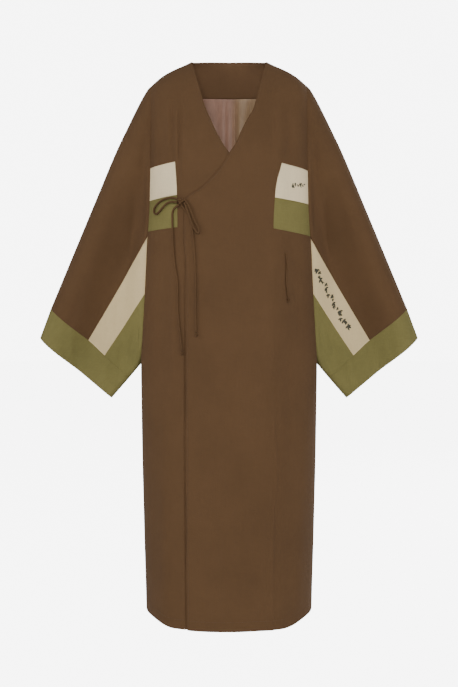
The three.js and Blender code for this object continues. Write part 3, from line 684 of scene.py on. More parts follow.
def front_plan(left, a, b):
    """Place of a front's grid in the view from the front; columns run from the side inwards."""
    side_name, edge_name = ("side_left", "edge_left") if left else ("side_right", "edge_right")
    edge, inset = (EDGE_LEFT, INSET_LEFT) if left else (EDGE_RIGHT, INSET_RIGHT)
    sign = 1 if left else -1
    index = np.arange(LAST_ROW + 1)
    side = np.interp(b, index, ROWS[side_name])
    free = np.interp(b, index, ROWS[edge_name])
    x_side = sign * panel_half(side)
    x_free = read(edge, "z", "x", free)
    x_inset = sign * read(inset, "z", "x", side)
    by_side = lerp(x_side, x_inset, np.interp(a, np.arange(INSET_COLUMN + 1), SIDE_SHARES))
    centre_index = INSET_COLUMN + np.arange(len(CENTRE_SHARES))
    by_centre = lerp(x_inset, x_free, np.interp(a, centre_index, CENTRE_SHARES))
    x = np.where(a <= INSET_COLUMN, by_side, by_centre)
    share = np.clip((x - x_side) / (x_free - x_side), 0, 1)
    bulge = TIP_BULGE * np.sin(np.pi * (1 - share) ** 1.4)
    z = lerp(side, free, share) + bulge * np.clip(1 - b / 7, 0, 1)
    z = lerp(z, shoulder_z(x), np.clip(1 - b, 0, 1))
    z = lerp(z, hem_z(x), np.clip(b - LAST_ROW + 1, 0, 1))
    return x, z


def back_plan(a, b):
    """Place of the back's grid in the view from behind."""
    s = np.interp(a, np.arange(len(BACK_SHARES)), BACK_SHARES)
    index = np.arange(LAST_ROW + 1)
    right, left = (np.interp(b, index, ROWS[f"side_{side}"]) for side in ("right", "left"))
    middle = lerp(right, left, (s + 1) / 2)
    share = (middle - TIP_Z) / (ROWS["side_right"][-1] - TIP_Z)
    x_top = s * TIP_HALF
    neck = lerp(NECK_CENTRE_Z, NECK_Z, np.clip(np.abs(x_top) / NECK_HALF, 0, 1) ** 2.2)
    top = np.where(np.abs(x_top) < NECK_HALF, neck, shoulder_z(x_top))
    level = np.interp(b, np.arange(len(BACK_LEVEL)), BACK_LEVEL)
    level = level * (NECK_CENTRE_Z - top) * (1 - smooth((np.abs(s) - 0.61) / 0.14))
    z = lerp(top, hem_z(s * panel_half(middle)), share) + level
    x = s * lerp(panel_half(z), panel_half(middle), np.abs(s) ** 6)
    at_seam = np.clip(1 - b, 0, 1) * smooth((np.abs(x_top) - NECK_HALF + 0.004) / 0.008)
    return x, lerp(z, shoulder_z(x), at_seam)


# ---- sleeve form ----
SLEEVE_DOWN = (-0.917, -0.4)  # across a sleeve from its fold to the under-arm
ARM_BLEND = (0.25, 0.85)  # share of the run that takes a sleeve to its own depth: fold, under-arm
BLEND_ROWS = (8, 13)


def band_point(heights, k):
    """Where the line of a sleeve row meets the cuff band, following the strip and gusset corners."""
    h = np.interp(k, np.arange(UNDERARM_ROW + 1), heights)
    corners = -heights[BAND["row"].astype(int)]
    return np.interp(-h, corners, BAND["x"]), np.interp(-h, corners, BAND["z"])


def sleeve_plan(heights, k, t):
    """Place of a sleeve row in the view from the front; t is 1 at the cuff band and 2 at its mouth."""
    h = np.interp(k, np.arange(UNDERARM_ROW + 1), heights)
    band_x, band_z = band_point(heights, k)
    top = (BAND["x"][0], BAND["z"][0])
    run = math.hypot(BAND["x"][-1] - top[0], BAND["z"][-1] - top[1])
    along = np.clip(np.hypot(band_x - top[0], band_z - top[1]) / run, 0, 1)
    cuff_x = lerp(CUFF_OUTER[0], CUFF_LOWER[0], along)
    cuff_z = lerp(CUFF_OUTER[1], CUFF_LOWER[1], along)
    s = np.clip((h - heights[0]) / (heights[STRIP_ROW] - heights[0]), 0, 1)
    bow = read(FOLD_BOW, "t", "rise", np.clip(t, 0, 1)) * (1 - s) ** 1.5
    u = np.clip(t, 0, 1)
    w = np.clip(t - 1, 0, 1)
    x = lerp(lerp(panel_half(h), band_x, u), cuff_x, w)
    z = lerp(lerp(h, band_z, u) + bow * (t <= 1), cuff_z, w)
    return x, z


def arm_depth(w, width, r):
    """Half depth of a sleeve: a round arm below the fold, then two layers close together."""
    near = r * np.sqrt(np.clip(1 - (1 - np.clip(w / r, 0, 1)) ** 2, 0, 1))
    far = ARM_FLAT + (r - ARM_FLAT) * (1 - smooth((w - r) / ARM_FALLOFF))
    d = np.clip((width - w) / ARM_EDGE, 0, 1)
    return np.where(w < r, near, far) * np.sqrt(1 - (1 - d) ** 2)


def sleeve_points(left, c, t):
    """Outer face of a whole sleeve: c runs from the front under-arm over the fold to the back."""
    sign = 1 if left else -1
    heights = ROWS["side_left" if left else "side_right"][: UNDERARM_ROW + 1]
    k = np.abs(c - UNDERARM_ROW)
    front = c < UNDERARM_ROW
    x, z = sleeve_plan(heights, k, t)
    fold_x, fold_z = sleeve_plan(heights, 0 * k, t)
    edge_x, edge_z = sleeve_plan(heights, 0 * k + UNDERARM_ROW, t)
    down_x, down_z = SLEEVE_DOWN
    across = np.maximum((x - fold_x) * down_x + (z - fold_z) * down_z, 0)
    width = (edge_x - fold_x) * down_x + (edge_z - fold_z) * down_z
    arm = arm_depth(across, width, lerp(ARM_TOP, ARM_CUFF, np.clip(t, 0, 1)))
    h = np.interp(k, np.arange(UNDERARM_ROW + 1), heights)
    hole_x = sign * panel_half(h)
    body = np.abs(np.where(front, front_form(hole_x, h), back_form(hole_x, h)))
    reach = lerp(*ARM_BLEND, fade_in(k, *BLEND_ROWS))
    depth = np.where(k == 0, 0, lerp(body, arm, smooth(t / reach)))
    y = ARM_SET * smooth(t) + np.where(front, -1, 1) * depth
    points = np.stack([sign * x, y, z], axis=2)
    off_seams = smooth(t * (1.2 - 0.9 * k / UNDERARM_ROW) / 0.10) * smooth((k - 1) / 3)
    off_seams = off_seams * smooth((UNDERARM_ROW - k) / 1.5)
    height = np.where(
        front,
        crease_height(x, z, SLEEVE_CREASES[(left, True)]),
        crease_height(x, z, SLEEVE_CREASES[(left, False)]),
    )
    height = (height + ripple(x, z, 2.6 if left else 0.9)) * off_seams * cloth_settings().crease
    return points + grid_normals(points, ARM_SET / 2) * height[..., None]


# ---- grids of cloth ----
def grid_normals(points, middle_y):
    """Outward normals of a grid, outward being away from the plane y = middle_y."""
    normal = np.cross(np.gradient(points, axis=0), np.gradient(points, axis=1))
    normal /= np.maximum(np.linalg.norm(normal, axis=2, keepdims=True), 1e-12)
    if (normal[..., 1] * (points[..., 1] - middle_y)).sum() < 0:
        normal = -normal
    return normal


def thread_lines(points, anchor_column, anchor_row):
    """Length along the cloth from an anchor line, both ways: the weave follows it."""
    across = np.linalg.norm(np.diff(points, axis=0), axis=2)
    down = np.linalg.norm(np.diff(points, axis=1), axis=2)
    u = np.concatenate([np.zeros((1, across.shape[1])), np.cumsum(across, axis=0)])
    v = np.concatenate([np.zeros((down.shape[0], 1)), np.cumsum(down, axis=1)], axis=1)
    way = np.sign(points[-1, :, 0].mean() - points[0, :, 0].mean()) or 1
    u = u - u[anchor_column] + way * points[anchor_column, :, 0]
    v = v - v[:, anchor_row : anchor_row + 1] - points[:, anchor_row, 2][:, None]
    return u, v


def cloth_grid(points, middle_y, anchor=(0, 0), keep=None, weld=False):
    """A bmesh grid laid out on the points, with a UV map in metres along the threads."""
    nx, ny = points.shape[0] - 1, points.shape[1] - 1
    u, v = thread_lines(points, *anchor)
    bm = bmesh.new()
    bmesh.ops.create_grid(bm, x_segments=nx, y_segments=ny, size=1.0)
    layer = bm.loops.layers.uv.new("cloth")
    place = {}
    for vert in bm.verts:
        i = round((vert.co.x + 1) / 2 * nx)
        j = round((vert.co.y + 1) / 2 * ny)
        place[vert] = (i, j)
    if keep is not None:
        spare = []
        for face in bm.faces:
            i = min(place[vert][0] for vert in face.verts)
            j = min(place[vert][1] for vert in face.verts)
            if not keep[i, j]:
                spare.append(face)
        bmesh.ops.delete(bm, geom=spare, context="FACES")
    for face in bm.faces:
        for loop in face.loops:
            spot = place[loop.vert]
            loop[layer].uv = (u[spot], v[spot])
    for vert in bm.verts:
        vert.co = points[place[vert]]
    if weld:
        bmesh.ops.remove_doubles(bm, verts=bm.verts, dist=1e-5)
    bm.normal_update()
    facing = sum(f.normal.y * (f.calc_center_median().y - middle_y) * f.calc_area() for f in bm.faces)
    if facing < 0:
        bmesh.ops.reverse_faces(bm, faces=bm.faces)
    return bm


def placed(mesh, name, material):
    """A smooth piece of a mesh that rides on the body."""
    mesh.shade_smooth()
    mesh.materials.append(material)
    piece = bpy.data.objects.new(name, mesh)
    bpy.context.scene.collection.objects.link(piece)
    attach(piece, BODY_NAME)
    return piece


def cloth_piece(bm, name, node, material, wall, roll=FREE_EDGE):
    """A sheet of cloth with its wall and rounded edges, in place of its CAD node."""
    mesh = bpy.data.meshes.new(name)
    bm.to_mesh(mesh)
    bm.free()
    piece = placed(mesh, name, material)
    solid = piece.modifiers.new("wall", "SOLIDIFY")
    solid.thickness = wall
    solid.offset = -1
    solid.use_even_offset = True
    rounding = piece.modifiers.new("rolled edge", "BEVEL")
    rounding.width = roll
    rounding.segments = 2
    rounding.limit_method = "ANGLE"
    rounding.angle_limit = math.radians(SHARP_EDGE)
    rounding.use_clamp_overlap = False
    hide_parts(node)
    return piece


# ---- materials ----
def cloth_settings():
    """Sizes of the cloth and its sewing."""
    return bpy.context.scene.kaftan_cloth


def colours():
    """Colours of the pieces."""
    return bpy.context.scene.kaftan_colours


class Paint:
    """A node material: a shader on its output, and short ways to add nodes."""

    def __init__(self, name):
        self.material = bpy.data.materials.new(name)
        self.material.use_nodes = True
        self.tree = self.material.node_tree
        self.tree.nodes.clear()
        self.shader = self.node("BsdfPrincipled")
        self.node("OutputMaterial", Surface=self.shader.outputs["BSDF"])

    def put(self, slot, value):
        """Sets an input, or links it to another node's output."""
        if isinstance(value, bpy.types.NodeSocket):
            self.tree.links.new(value, slot)
        else:
            slot.default_value = value

    def node(self, kind, *inputs, **settings):
        """Adds a node from its first inputs in order, and its properties and other inputs by name."""
        made = self.tree.nodes.new(f"ShaderNode{kind}")
        for key, value in settings.items():
            if hasattr(made, key):
                setattr(made, key, value)
            else:
                self.put(made.inputs[key.replace("_", " ")], value)
        for slot, value in zip(made.inputs, inputs):
            self.put(slot, value)
        return made

    def shade(self, **inputs):
        """Sets or links the shader's inputs."""
        for key, value in inputs.items():
            self.put(self.shader.inputs[key.replace("_", " ")], value)

    def noise(self, vector, scale, detail, roughness=0.5, stretch=None):
        """Soft noise, on stretched places if need be."""
        if stretch:
            vector = self.node("Mapping", vector, Scale=stretch).outputs["Vector"]
        made = self.node("TexNoise", Vector=vector, Scale=scale, Detail=detail, Roughness=roughness)
        return made.outputs["Fac"]

    def sum(self, a, b, **settings):
        """Two values added."""
        return self.node("Math", a, b, operation="ADD", **settings).outputs[0]

    def ranged(self, value, low, high, to_low, to_high, **settings):
        """A value moved from one range into another."""
        return self.node("MapRange", value, low, high, to_low, to_high, **settings).outputs["Result"]

    def mix(self, share, a, b, **settings):
        """Two colours mixed."""
        made = self.node("Mix", share, data_type="RGBA", **settings)
        self.put(made.inputs[6], a)
        self.put(made.inputs[7], b)
        return made.outputs[2]

    def bump(self, height, strength, distance, **settings):
        """A normal with relief on it."""
        made = self.node("Bump", Height=height, Strength=strength, Distance=distance, **settings)
        return made.outputs["Normal"]


def tint(colour, share=1.0, lift=0.0):
    """A colour made lighter or darker, as a node takes it."""
    return (*[min(c * share + lift, 1) for c in colour], 1)


# Stretches that draw noise out into slubs and ribs, per metre along and across the thread.
WEFT_SLUBS = (26, 620, 1)
WARP_SLUBS = (520, 22, 1)
SATIN_RIBS = (420, 420, 12)
SATIN_CHANGE = (-0.004, 0.030)  # from the rosy half to the sand one


def woven(name, colour, pitch=0.0006, slub=0.3, mottle=0.09, rough=0.9, sheen=0.12):
    """A plain weave: warp and weft, slubs in both, soft blotches of tone and a faint nap."""
    paint = Paint(name)
    laid = paint.node("UVMap", uv_map="cloth").outputs["UV"]
    spot = paint.node("TexCoord").outputs["Object"]
    waves = [
        paint.node("TexWave", laid, bands_direction=way, Scale=math.pi / 10 / pitch, Distortion=0.6)
        for way in "XY"
    ]
    weave = paint.node("Math", *[wave.outputs["Fac"] for wave in waves], operation="MULTIPLY").outputs[0]
    slubs = paint.sum(
        paint.noise(laid, scale=1.0, detail=2.0, roughness=0.55, stretch=WEFT_SLUBS),
        paint.noise(laid, scale=1.0, detail=2.0, roughness=0.55, stretch=WARP_SLUBS),
    )
    broad = paint.noise(spot, scale=7.0, detail=3.0, roughness=0.55)
    fine = paint.noise(spot, scale=190.0, detail=3.0, roughness=0.6)
    tone = paint.sum(
        paint.ranged(slubs, 0.7, 1.3, -slub / 2, slub / 2),
        paint.ranged(broad, 0.3, 0.7, 0.15, 0.85),
    )
    tone = paint.sum(tone, paint.ranged(fine, 0.3, 0.7, -0.14, 0.14), use_clamp=True)
    relief = paint.bump(weave, strength=0.35, distance=0.00025)
    relief = paint.bump(slubs, strength=0.30, distance=0.0006, Normal=relief)
    paint.shade(
        Base_Color=paint.mix(tone, tint(colour, 1 - mottle), tint(colour, 1 + mottle)),
        Roughness=paint.ranged(fine, 0, 1, rough - 0.06, min(rough + 0.06, 1)),
        Specular_IOR_Level=0.2,
        Sheen_Weight=sheen,
        Sheen_Roughness=0.55,
        Sheen_Tint=tint(colour, 2.2, 0.04),
        Normal=paint.bump(broad, strength=0.25, distance=0.004, Normal=relief),
    )
    return paint.material


# How each cloth differs from the brown one.
CLOTH_LOOKS = {
    "brown": {},
    # The facing is the brown cloth again in a lighter colour: painted light that offsets the shade falling
    # inside the back neck.
    "facing": {},
    "linen": {"pitch": 0.0008, "slub": 0.55, "mottle": 0.07, "sheen": 0.05},
    "strip": {"pitch": 0.0008, "slub": 0.55, "mottle": 0.08, "sheen": 0.05},
    "olive": {"pitch": 0.0007, "slub": 0.5, "mottle": 0.13, "sheen": 0.08},
    "tie": {"pitch": 0.0005, "mottle": 0.2, "rough": 0.8},
}


def cloth(kind):
    """A woven cloth by its kind, made once."""
    name = f"{kind}_cloth"
    return bpy.data.materials.get(name) or woven(name, getattr(colours(), kind), **CLOTH_LOOKS[kind])


def lining_satin():
    """Smooth lining, rosy on the wearer's right and sand on the left, with fine vertical ribs."""
    paint = Paint("lining_satin")
    spot = paint.node("TexCoord").outputs["Object"]
    across = paint.node("SeparateXYZ", spot).outputs["X"]
    across = paint.ranged(across, *SATIN_CHANGE, 0, 1, interpolation_type="SMOOTHSTEP")
    streak = paint.noise(spot, scale=1.0, detail=3.0, roughness=0.6, stretch=SATIN_RIBS)
    base = paint.mix(across, tint(colours().lining_rose), tint(colours().lining_sand))
    tone = paint.ranged(streak, 0.3, 0.7, 0.86, 1.1)
    paint.shade(
        Base_Color=paint.mix(1.0, base, tone, blend_type="MULTIPLY"),
        Roughness=0.5,
        Specular_IOR_Level=0.35,
        Sheen_Weight=0.1,
        Normal=paint.bump(streak, strength=0.3, distance=0.0006),
    )
    return paint.material


def thread(kind, rough=0.6):
    """Thread: twisted strands with a slight gloss."""
    paint = Paint(f"{kind}_thread")
    colour = getattr(colours(), kind if kind == "sprig" else f"{kind}_thread")
    strands = paint.noise(paint.node("TexCoord").outputs["Object"], scale=900.0, detail=2.0)
    paint.shade(
        Base_Color=paint.mix(strands, tint(colour, 0.8), tint(colour, 1.2)),
        Roughness=rough,
        Specular_IOR_Level=0.35,
        Normal=paint.bump(strands, strength=0.4, distance=0.0002),
    )
    return paint.material


# ---- sampling of the forms ----
def row_cells(first, last):
    """How many grid rows go into each cell between the named rows."""
    heights = ROWS["side_left"]
    counts = []
    for j in range(first, last):
        tall = heights[j] - heights[j + 1]
        counts.append(max(3 if j < 4 else 2, round(tall / CLOTH_STEP)))
    return counts


def body_rows(first, last):
    """Grid rows from one named row to another, crowded towards the shoulder."""
    return spread(np.arange(first, last + 1), row_cells(first, last), crowd_first=2.0 if first == 0 else 1.0)


def front_columns():
    """Grid columns of a front, crowded towards the side seam."""
    return spread(np.arange(LAST_COLUMN + 1), [7, 5, 6, 6, 7, 16, 7, 7, 6, 6, 11], 2.2, 1.9)


def back_columns():
    """Grid columns of the back, crowded towards both side seams."""
    half = [6, 4, 5, 6, 6, 5, 6, 6, 6]
    return spread(np.arange(len(BACK_SHARES)), half + half[::-1], crowd_first=2.2, crowd_last=2.2)


def front_points(left, columns, rows):
    """Outer face of a front on its grid."""
    a, b = np.meshgrid(columns, rows, indexing="ij")
    x, z = front_plan(left, a, b)
    y = np.minimum(front_y(left, x, z), EDGE_LAP)
    return np.stack([x, y, z], axis=2)


def back_points(columns, rows, depth=0.0):
    """Outer face of the back on its grid, or a layer inside it."""
    a, b = np.meshgrid(columns, rows, indexing="ij")
    x, z = back_plan(a, b)
    y = np.maximum(back_y(x, z), -EDGE_LAP)
    points = np.stack([x, y, z], axis=2)
    return points - grid_normals(points, 0.0) * depth


def remember(name, points, middle_y=0.0):
    """Keeps a grid, so that stitches and sprigs can be laid on it."""
    SHEETS[name] = np.concatenate([points, grid_normals(points, middle_y)], axis=2)


# ---- operators: cloth ----
# Cut of each piece: flat size and, where it isn't a full rectangle, area.
FRONT_CUTS = [
    (False, "front_right_under", (0.38, 1.36), 0.415),
    (True, "front_left_over", (0.38, 1.36), 0.405),
]
SLEEVE_CUT = ((0.72, 0.42), 0.190)
STRIP_CUT = ((0.09, 0.24), 0.0152)
GUSSET_CUT = ((0.14, 0.17), 0.0116)
CUFF_CUT = ((0.50, 0.08), 0.0385)


class KAFTAN_OT_fronts(bpy.types.Operator):
    """Make both fronts, the left one wrapped over the right"""

    bl_idname = "kaftan.fronts"
    bl_label = "Fronts"

    def execute(self, context):
        columns, rows = front_columns(), body_rows(0, LAST_ROW)
        in_inset = (columns[:-1, None] < INSET_COLUMN - TINY) & (rows[None, :-1] > PATCH_TOP - TINY)
        in_inset &= rows[None, :-1] < PATCH_BOTTOM - TINY
        anchor = (int(np.argmin(abs(columns - INSET_COLUMN))), int(np.argmin(abs(rows - PATCH_TOP))))
        for left, node, flat, area in FRONT_CUTS:
            points = front_points(left, columns, rows)
            remember(node, points)
            bm = cloth_grid(points, 0.0, anchor, keep=~in_inset)
            piece = cloth_piece(bm, f"{node}_cloth", node, cloth("brown"), cloth_settings().wall)
        return {"FINISHED"}


class KAFTAN_OT_chest_insets(bpy.types.Operator):
    """Make the pale and the olive inset of each front"""

    bl_idname = "kaftan.chest_insets"
    bl_label = "Chest insets"

    def execute(self, context):
        columns = front_columns()
        columns = columns[columns <= INSET_COLUMN + TINY]
        cuts = [("linen", PATCH_TOP, PATCH_MIDDLE), ("olive", PATCH_MIDDLE, PATCH_BOTTOM)]
        for left in (False, True):
            side = "left" if left else "right"
            for slot, first, last in cuts:
                points = front_points(left, columns, body_rows(first, last))
                points[-1, :, 0] += (1 if left else -1) * SEAM_GAP
                points[:, 0, 2] -= SEAM_GAP
                points[:, -1, 2] += SEAM_GAP
                node = f"chest_{slot}_{side}"
                remember(node, points)
                bm = cloth_grid(points, 0.0)
                piece = cloth_piece(bm, f"{node}_cloth", node, cloth(slot), cloth_settings().wall)
        return {"FINISHED"}


class KAFTAN_OT_back(bpy.types.Operator):
    """Make the back, its neck facing and the lining that hangs below it"""

    bl_idname = "kaftan.back"
    bl_label = "Back, facing and lining"

    def execute(self, context):
        wall, lining_wall = cloth_settings().wall, cloth_settings().lining_wall
        columns, rows = back_columns(), body_rows(0, LAST_ROW)
        points = back_points(columns, rows)
        remember("back_panel", points)
        middle = len(columns) // 2
        bm = cloth_grid(points, 0.0, (middle, 0))
        back = cloth_piece(bm, "back_panel_cloth", "back_panel", cloth("brown"), wall, SEWN_EDGE)

        first, last = FACING_COLUMNS
        facing_columns = columns[(columns > first - TINY) & (columns < last + TINY)]
        facing_points = back_points(facing_columns, body_rows(0, FACING_ROW), wall + FACING_GAP)
        bm = cloth_grid(facing_points, 0.0, (len(facing_columns) // 2, 0))
        # The facing's colour is the brown cloth painted lighter: painted light against the shade inside the
        # neck.
        facing = cloth_piece(bm, "back_facing_cloth", "back_facing", cloth("facing"), lining_wall)

        lining_points = self.lining_points(wall)
        bm = cloth_grid(lining_points, 0.0, (lining_points.shape[0] // 2, 0))
        satin = lining_satin()
        lining = cloth_piece(
            bm, "back_lining_cloth", "back_lining", satin, lining_wall, LINING_EDGE
        )
        return {"FINISHED"}

    def lining_points(self, wall):
        """The lining hangs in soft pleats from the facing's lower edge."""
        line_x, line_z = back_plan(np.linspace(*FACING_COLUMNS, 60), np.full(60, float(FACING_ROW)))
        across = np.linspace(-LINING_HALF, LINING_HALF, LINING_COLUMNS)
        down = np.linspace(0, 1, LINING_ROWS)
        x, t = np.meshgrid(across, down, indexing="ij")
        z = lerp(np.interp(x, line_x, line_z) - LINING_TUCK, LINING_BOTTOM, t)
        fold = long_folds(x, zip(*PLEATS.values()))
        swing = LINING_DROP * smooth(t / LINING_DROP_RUN)
        off = wall + LINING_GAP + swing + fold * lerp(*PLEAT_GROWTH, np.sqrt(t))
        return np.stack([x, back_y(x, z) - np.maximum(off, wall + LINING_NEAREST), z], axis=2)


class KAFTAN_OT_sleeves(bpy.types.Operator):
    """Make both sleeves: main piece, pale strip, gusset and cuff band"""

    bl_idname = "kaftan.sleeves"
    bl_label = "Sleeves"

    def execute(self, context):
        half = spread(np.arange(UNDERARM_ROW + 1), row_cells(0, UNDERARM_ROW), 2.0, 1.8)
        c = np.concatenate([UNDERARM_ROW - half[::-1], UNDERARM_ROW + half[1:]])
        counts = [max(2, round((b - a) * SLEEVE_STEPS)) for a, b in zip(SLEEVE_KNOTS, SLEEVE_KNOTS[1:])]
        sleeve_t = spread(SLEEVE_KNOTS, counts)
        cuff_t = np.linspace(1, 2, CUFF_ROWS)
        around, t = np.meshgrid(c, np.concatenate([sleeve_t, cuff_t[1:]]), indexing="ij")
        seam = len(sleeve_t) - 1
        strip_from = int(np.argmin(abs(c - (UNDERARM_ROW - GUSSET_ROW))))
        strip_to = int(np.argmin(abs(c - (UNDERARM_ROW - STRIP_ROW))))
        for left in (False, True):
            side = "left" if left else "right"
            whole = sleeve_points(left, around, t)
            upper = self.open_seams(whole, seam)
            self.sew(upper[: strip_from + 1], f"sleeve_gusset_{side}", cloth("olive"), "olive", GUSSET_CUT)
            strip = self.trim(upper[strip_from : strip_to + 1])
            self.sew(strip, f"sleeve_strip_{side}", cloth("strip"), "linen", STRIP_CUT)
            self.sew(upper[strip_to:], f"sleeve_main_{side}", cloth("brown"), "brown", SLEEVE_CUT)
            self.sew(whole[:, seam:], f"cuff_band_{side}", cloth("olive"), "olive", CUFF_CUT, weld=True)
        return {"FINISHED"}

    def open_seams(self, whole, seam):
        """Laps the armhole and under-arm seams a hair and leaves the seam gap at the cuff band."""
        upper = whole[:, : seam + 1].copy()
        for edge, inner, gap in ((0, 1, -ARMHOLE_LAP), (seam, seam - 1, SEAM_GAP)):
            way = upper[:, inner] - upper[:, edge]
            upper[:, edge] += way / np.linalg.norm(way, axis=1, keepdims=True) * gap
        upper[0, :, 1] += EDGE_LAP
        upper[-1, :, 1] -= EDGE_LAP
        return upper

    def trim(self, points):
        """Leaves the seam gap along both long edges of the strip."""
        strip = points.copy()
        for edge, inner in ((0, 1), (-1, -2)):
            way = points[inner] - points[edge]
            way /= np.linalg.norm(way, axis=1, keepdims=True)
            along = np.gradient(points[edge], axis=0)
            along /= np.linalg.norm(along, axis=1, keepdims=True)
            bite = np.linalg.norm(np.cross(way, along), axis=1, keepdims=True)
            strip[edge] += way * 1.4 * SEAM_GAP / bite
        return strip

    def sew(self, points, node, material, slot, cut, weld=False):
        """Makes one piece of a sleeve."""
        remember(node, points, ARM_SET / 2)
        bm = cloth_grid(points, ARM_SET / 2, (points.shape[0] // 2, 0), weld=weld)
        roll = FREE_EDGE if weld else SEWN_EDGE
        piece = cloth_piece(bm, f"{node}_cloth", node, material, cloth_settings().wall, roll)


# ---- operators: ties ----
def cloth_front(x, z, reach=0.0025):
    """Most forward place of the cloth near a point of the fronts."""
    steps = [(0, 0), (-reach, 0), (reach, 0), (0, -reach), (0, reach)]
    found = []
    for dx, dz in steps:
        over = x + dx > read(EDGE_LEFT, "z", "x", z + dz) - 0.001
        found.append(float(front_y(bool(over), x + dx, z + dz)))
    return min(found)


def lay_route(route, diameter):
    """Points of a cord's centreline from its route on the cloth."""
    return [Vector((x, cloth_front(x, z) + CORD_SEAT - above - diameter / 2, z)) for x, above, z in route]


def tube_piece(name, node, points, diameter, closed=False):
    """A soft round cord along its points, made a mesh."""
    curve = bpy.data.curves.new(name, "CURVE")
    curve.dimensions = "3D"
    curve.bevel_depth = diameter / 2
    curve.bevel_resolution = 4
    curve.resolution_u = 4 if closed else 6
    curve.use_fill_caps = True
    spline = curve.splines.new("BEZIER")
    spline.bezier_points.add(len(points) - 1)
    spline.use_cyclic_u = closed
    for i, (spot, point) in enumerate(zip(spline.bezier_points, points)):
        spot.co = point
        spot.handle_left_type = spot.handle_right_type = "AUTO"
        spot.radius = 1 + 0.05 * math.sin(2.1 * i)
    line = bpy.data.objects.new(f"{name}_line", curve)
    bpy.context.scene.collection.objects.link(line)
    bpy.context.view_layer.update()
    mesh = bpy.data.meshes.new_from_object(line.evaluated_get(bpy.context.evaluated_depsgraph_get()))
    bpy.data.objects.remove(line)
    bpy.data.curves.remove(curve)
    mesh.name = name
    mesh.materials.clear()
    for layer in mesh.uv_layers:
        layer.name = "cloth"
    piece = placed(mesh, name, cloth("tie"))
    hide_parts(node)
    return piece


def knot_piece(name, node, centre, radii, cord):
    """A pulled knot: a short run of the cord, wound over and under itself."""
    reach = [r - cord / 2 for r in radii]
    points = []
    for n in range(36):
        turn = 2 * math.pi * n / 36
        across = (math.sin(turn) + 2 * math.sin(2 * turn)) / 3
        out = -math.sin(3 * turn)
        up = (math.cos(turn) - 2 * math.cos(2 * turn)) / 3
        points.append(centre + Vector((across * reach[0], out * reach[1], up * reach[2])))
    return tube_piece(name, node, points, cord, closed=True)


def knot_centre(x, above, z, depth):
    """Centre of a knot that rests on the cloth."""
    return Vector((x, cloth_front(x, z) + CORD_SEAT - above - depth, z))


# Knots: x, height above the cloth and z of the centre, then half sizes across, out and up.
BOW_KNOT = ((-0.1106, 0.0044, -0.314), (0.0080, 0.0056, 0.0074))
SIDE_KNOT = ((-0.1068, 0.0006, -0.6604), (0.0042, 0.004, 0.005))
CENTRE_KNOT = ((-0.0744, 0.0008, -0.6184), (0.0042, 0.004, 0.005))
STRING_KNOT = ((0.1369, 0.0005, -0.541), (0.0036, 0.0034, 0.0046))
BOW_SINK = 0.0006  # the bow's knot sits this much deeper than its half size
BOW_CORD, END_CORD = 1.05, 0.75  # cord of a knot, as a share of the tie's


class KAFTAN_OT_ties(bpy.types.Operator):
    """Lay the bow, its two long tails and the short side string"""

    bl_idname = "kaftan.ties"
    bl_label = "Ties"

    def execute(self, context):
        ties = context.scene.kaftan_ties
        self.knot("bow_knot", "tie_knot", BOW_KNOT, BOW_CORD * ties.tie, BOW_SINK)
        self.lay("tie_loop_side", LOOP_SIDE, ties.tie)
        self.lay("tie_loop_centre", LOOP_CENTRE, ties.tie)
        self.lay("tie_tail_side", TAIL_SIDE, ties.tie, "tail_side_knot", SIDE_KNOT)
        self.lay("tie_tail_centre", TAIL_CENTRE, ties.tie, "tail_centre_knot", CENTRE_KNOT)
        self.lay("side_string", SIDE_STRING, ties.string, "side_string_knot", STRING_KNOT)
        return {"FINISHED"}

    def knot(self, name, node, shape, cord, sink=0.0):
        """Makes a knot that rests on the cloth."""
        place, radii = shape
        return knot_piece(name, node, knot_centre(*place, radii[1] - sink), radii, cord)

    def lay(self, node, route, diameter, knot_node=None, shape=None):
        """Makes a cord along its route, with its end knot, or as a loop back into the bow."""
        points = lay_route(route, diameter)
        piece = tube_piece(f"{node}_cord", node, points, diameter)
        path = self.centreline(points)
        if knot_node:
            knot = self.knot(f"{knot_node}_end", knot_node, shape, END_CORD * diameter)
        self.run(path)

    def centreline(self, points):
        """The smooth line through a cord's points, near enough the curve that the cord follows."""
        path = []
        padded = [points[0] * 2 - points[1], *points, points[-1] * 2 - points[-2]]
        for a, b, c, d in zip(padded, padded[1:], padded[2:], padded[3:]):
            for share in (0, 0.25, 0.5, 0.75):
                t2, t3 = share**2, share**3
                mixed = 2 * b + (c - a) * share + (2 * a - 5 * b + 4 * c - d) * t2
                path.append((mixed + (3 * b - a - 3 * c + d) * t3) / 2)
        path.append(points[-1])
        return path

    def run(self, path):
        """Length of a path."""
        return sum((b - a).length for a, b in zip(path, path[1:]))


# ---- operators: sewing ----
def unit_grain(segments, rings, taper=0.0):
    """Vertices and faces of a small rounded grain, a unit long, across and high."""
    bm = bmesh.new()
    bmesh.ops.create_uvsphere(bm, u_segments=segments, v_segments=rings, radius=0.5)
    bm.verts.index_update()
    points = []
    for v in bm.verts:
        thin = 1 - taper * abs(2 * v.co.z) ** 1.5
        points.append((v.co.z, v.co.x * thin, v.co.y * thin))
    faces = [[v.index for v in face.verts][::-1] for face in bm.faces]
    bm.free()
    return np.array(points), faces


def joined(name, shape, frames, material):
    """Many copies of a small shape in one mesh; a frame is an origin and three scaled axes."""
    unit, unit_faces = shape
    points, faces = [], []
    for n, (origin, along, across, up) in enumerate(frames):
        points.append(origin + unit @ np.array([along, across, up]))
        faces.extend([[i + n * len(unit) for i in face] for face in unit_faces])
    mesh = bpy.data.meshes.new(name)
    mesh.from_pydata(np.concatenate(points).tolist(), [], faces)
    mesh.update()
    return placed(mesh, name, material)


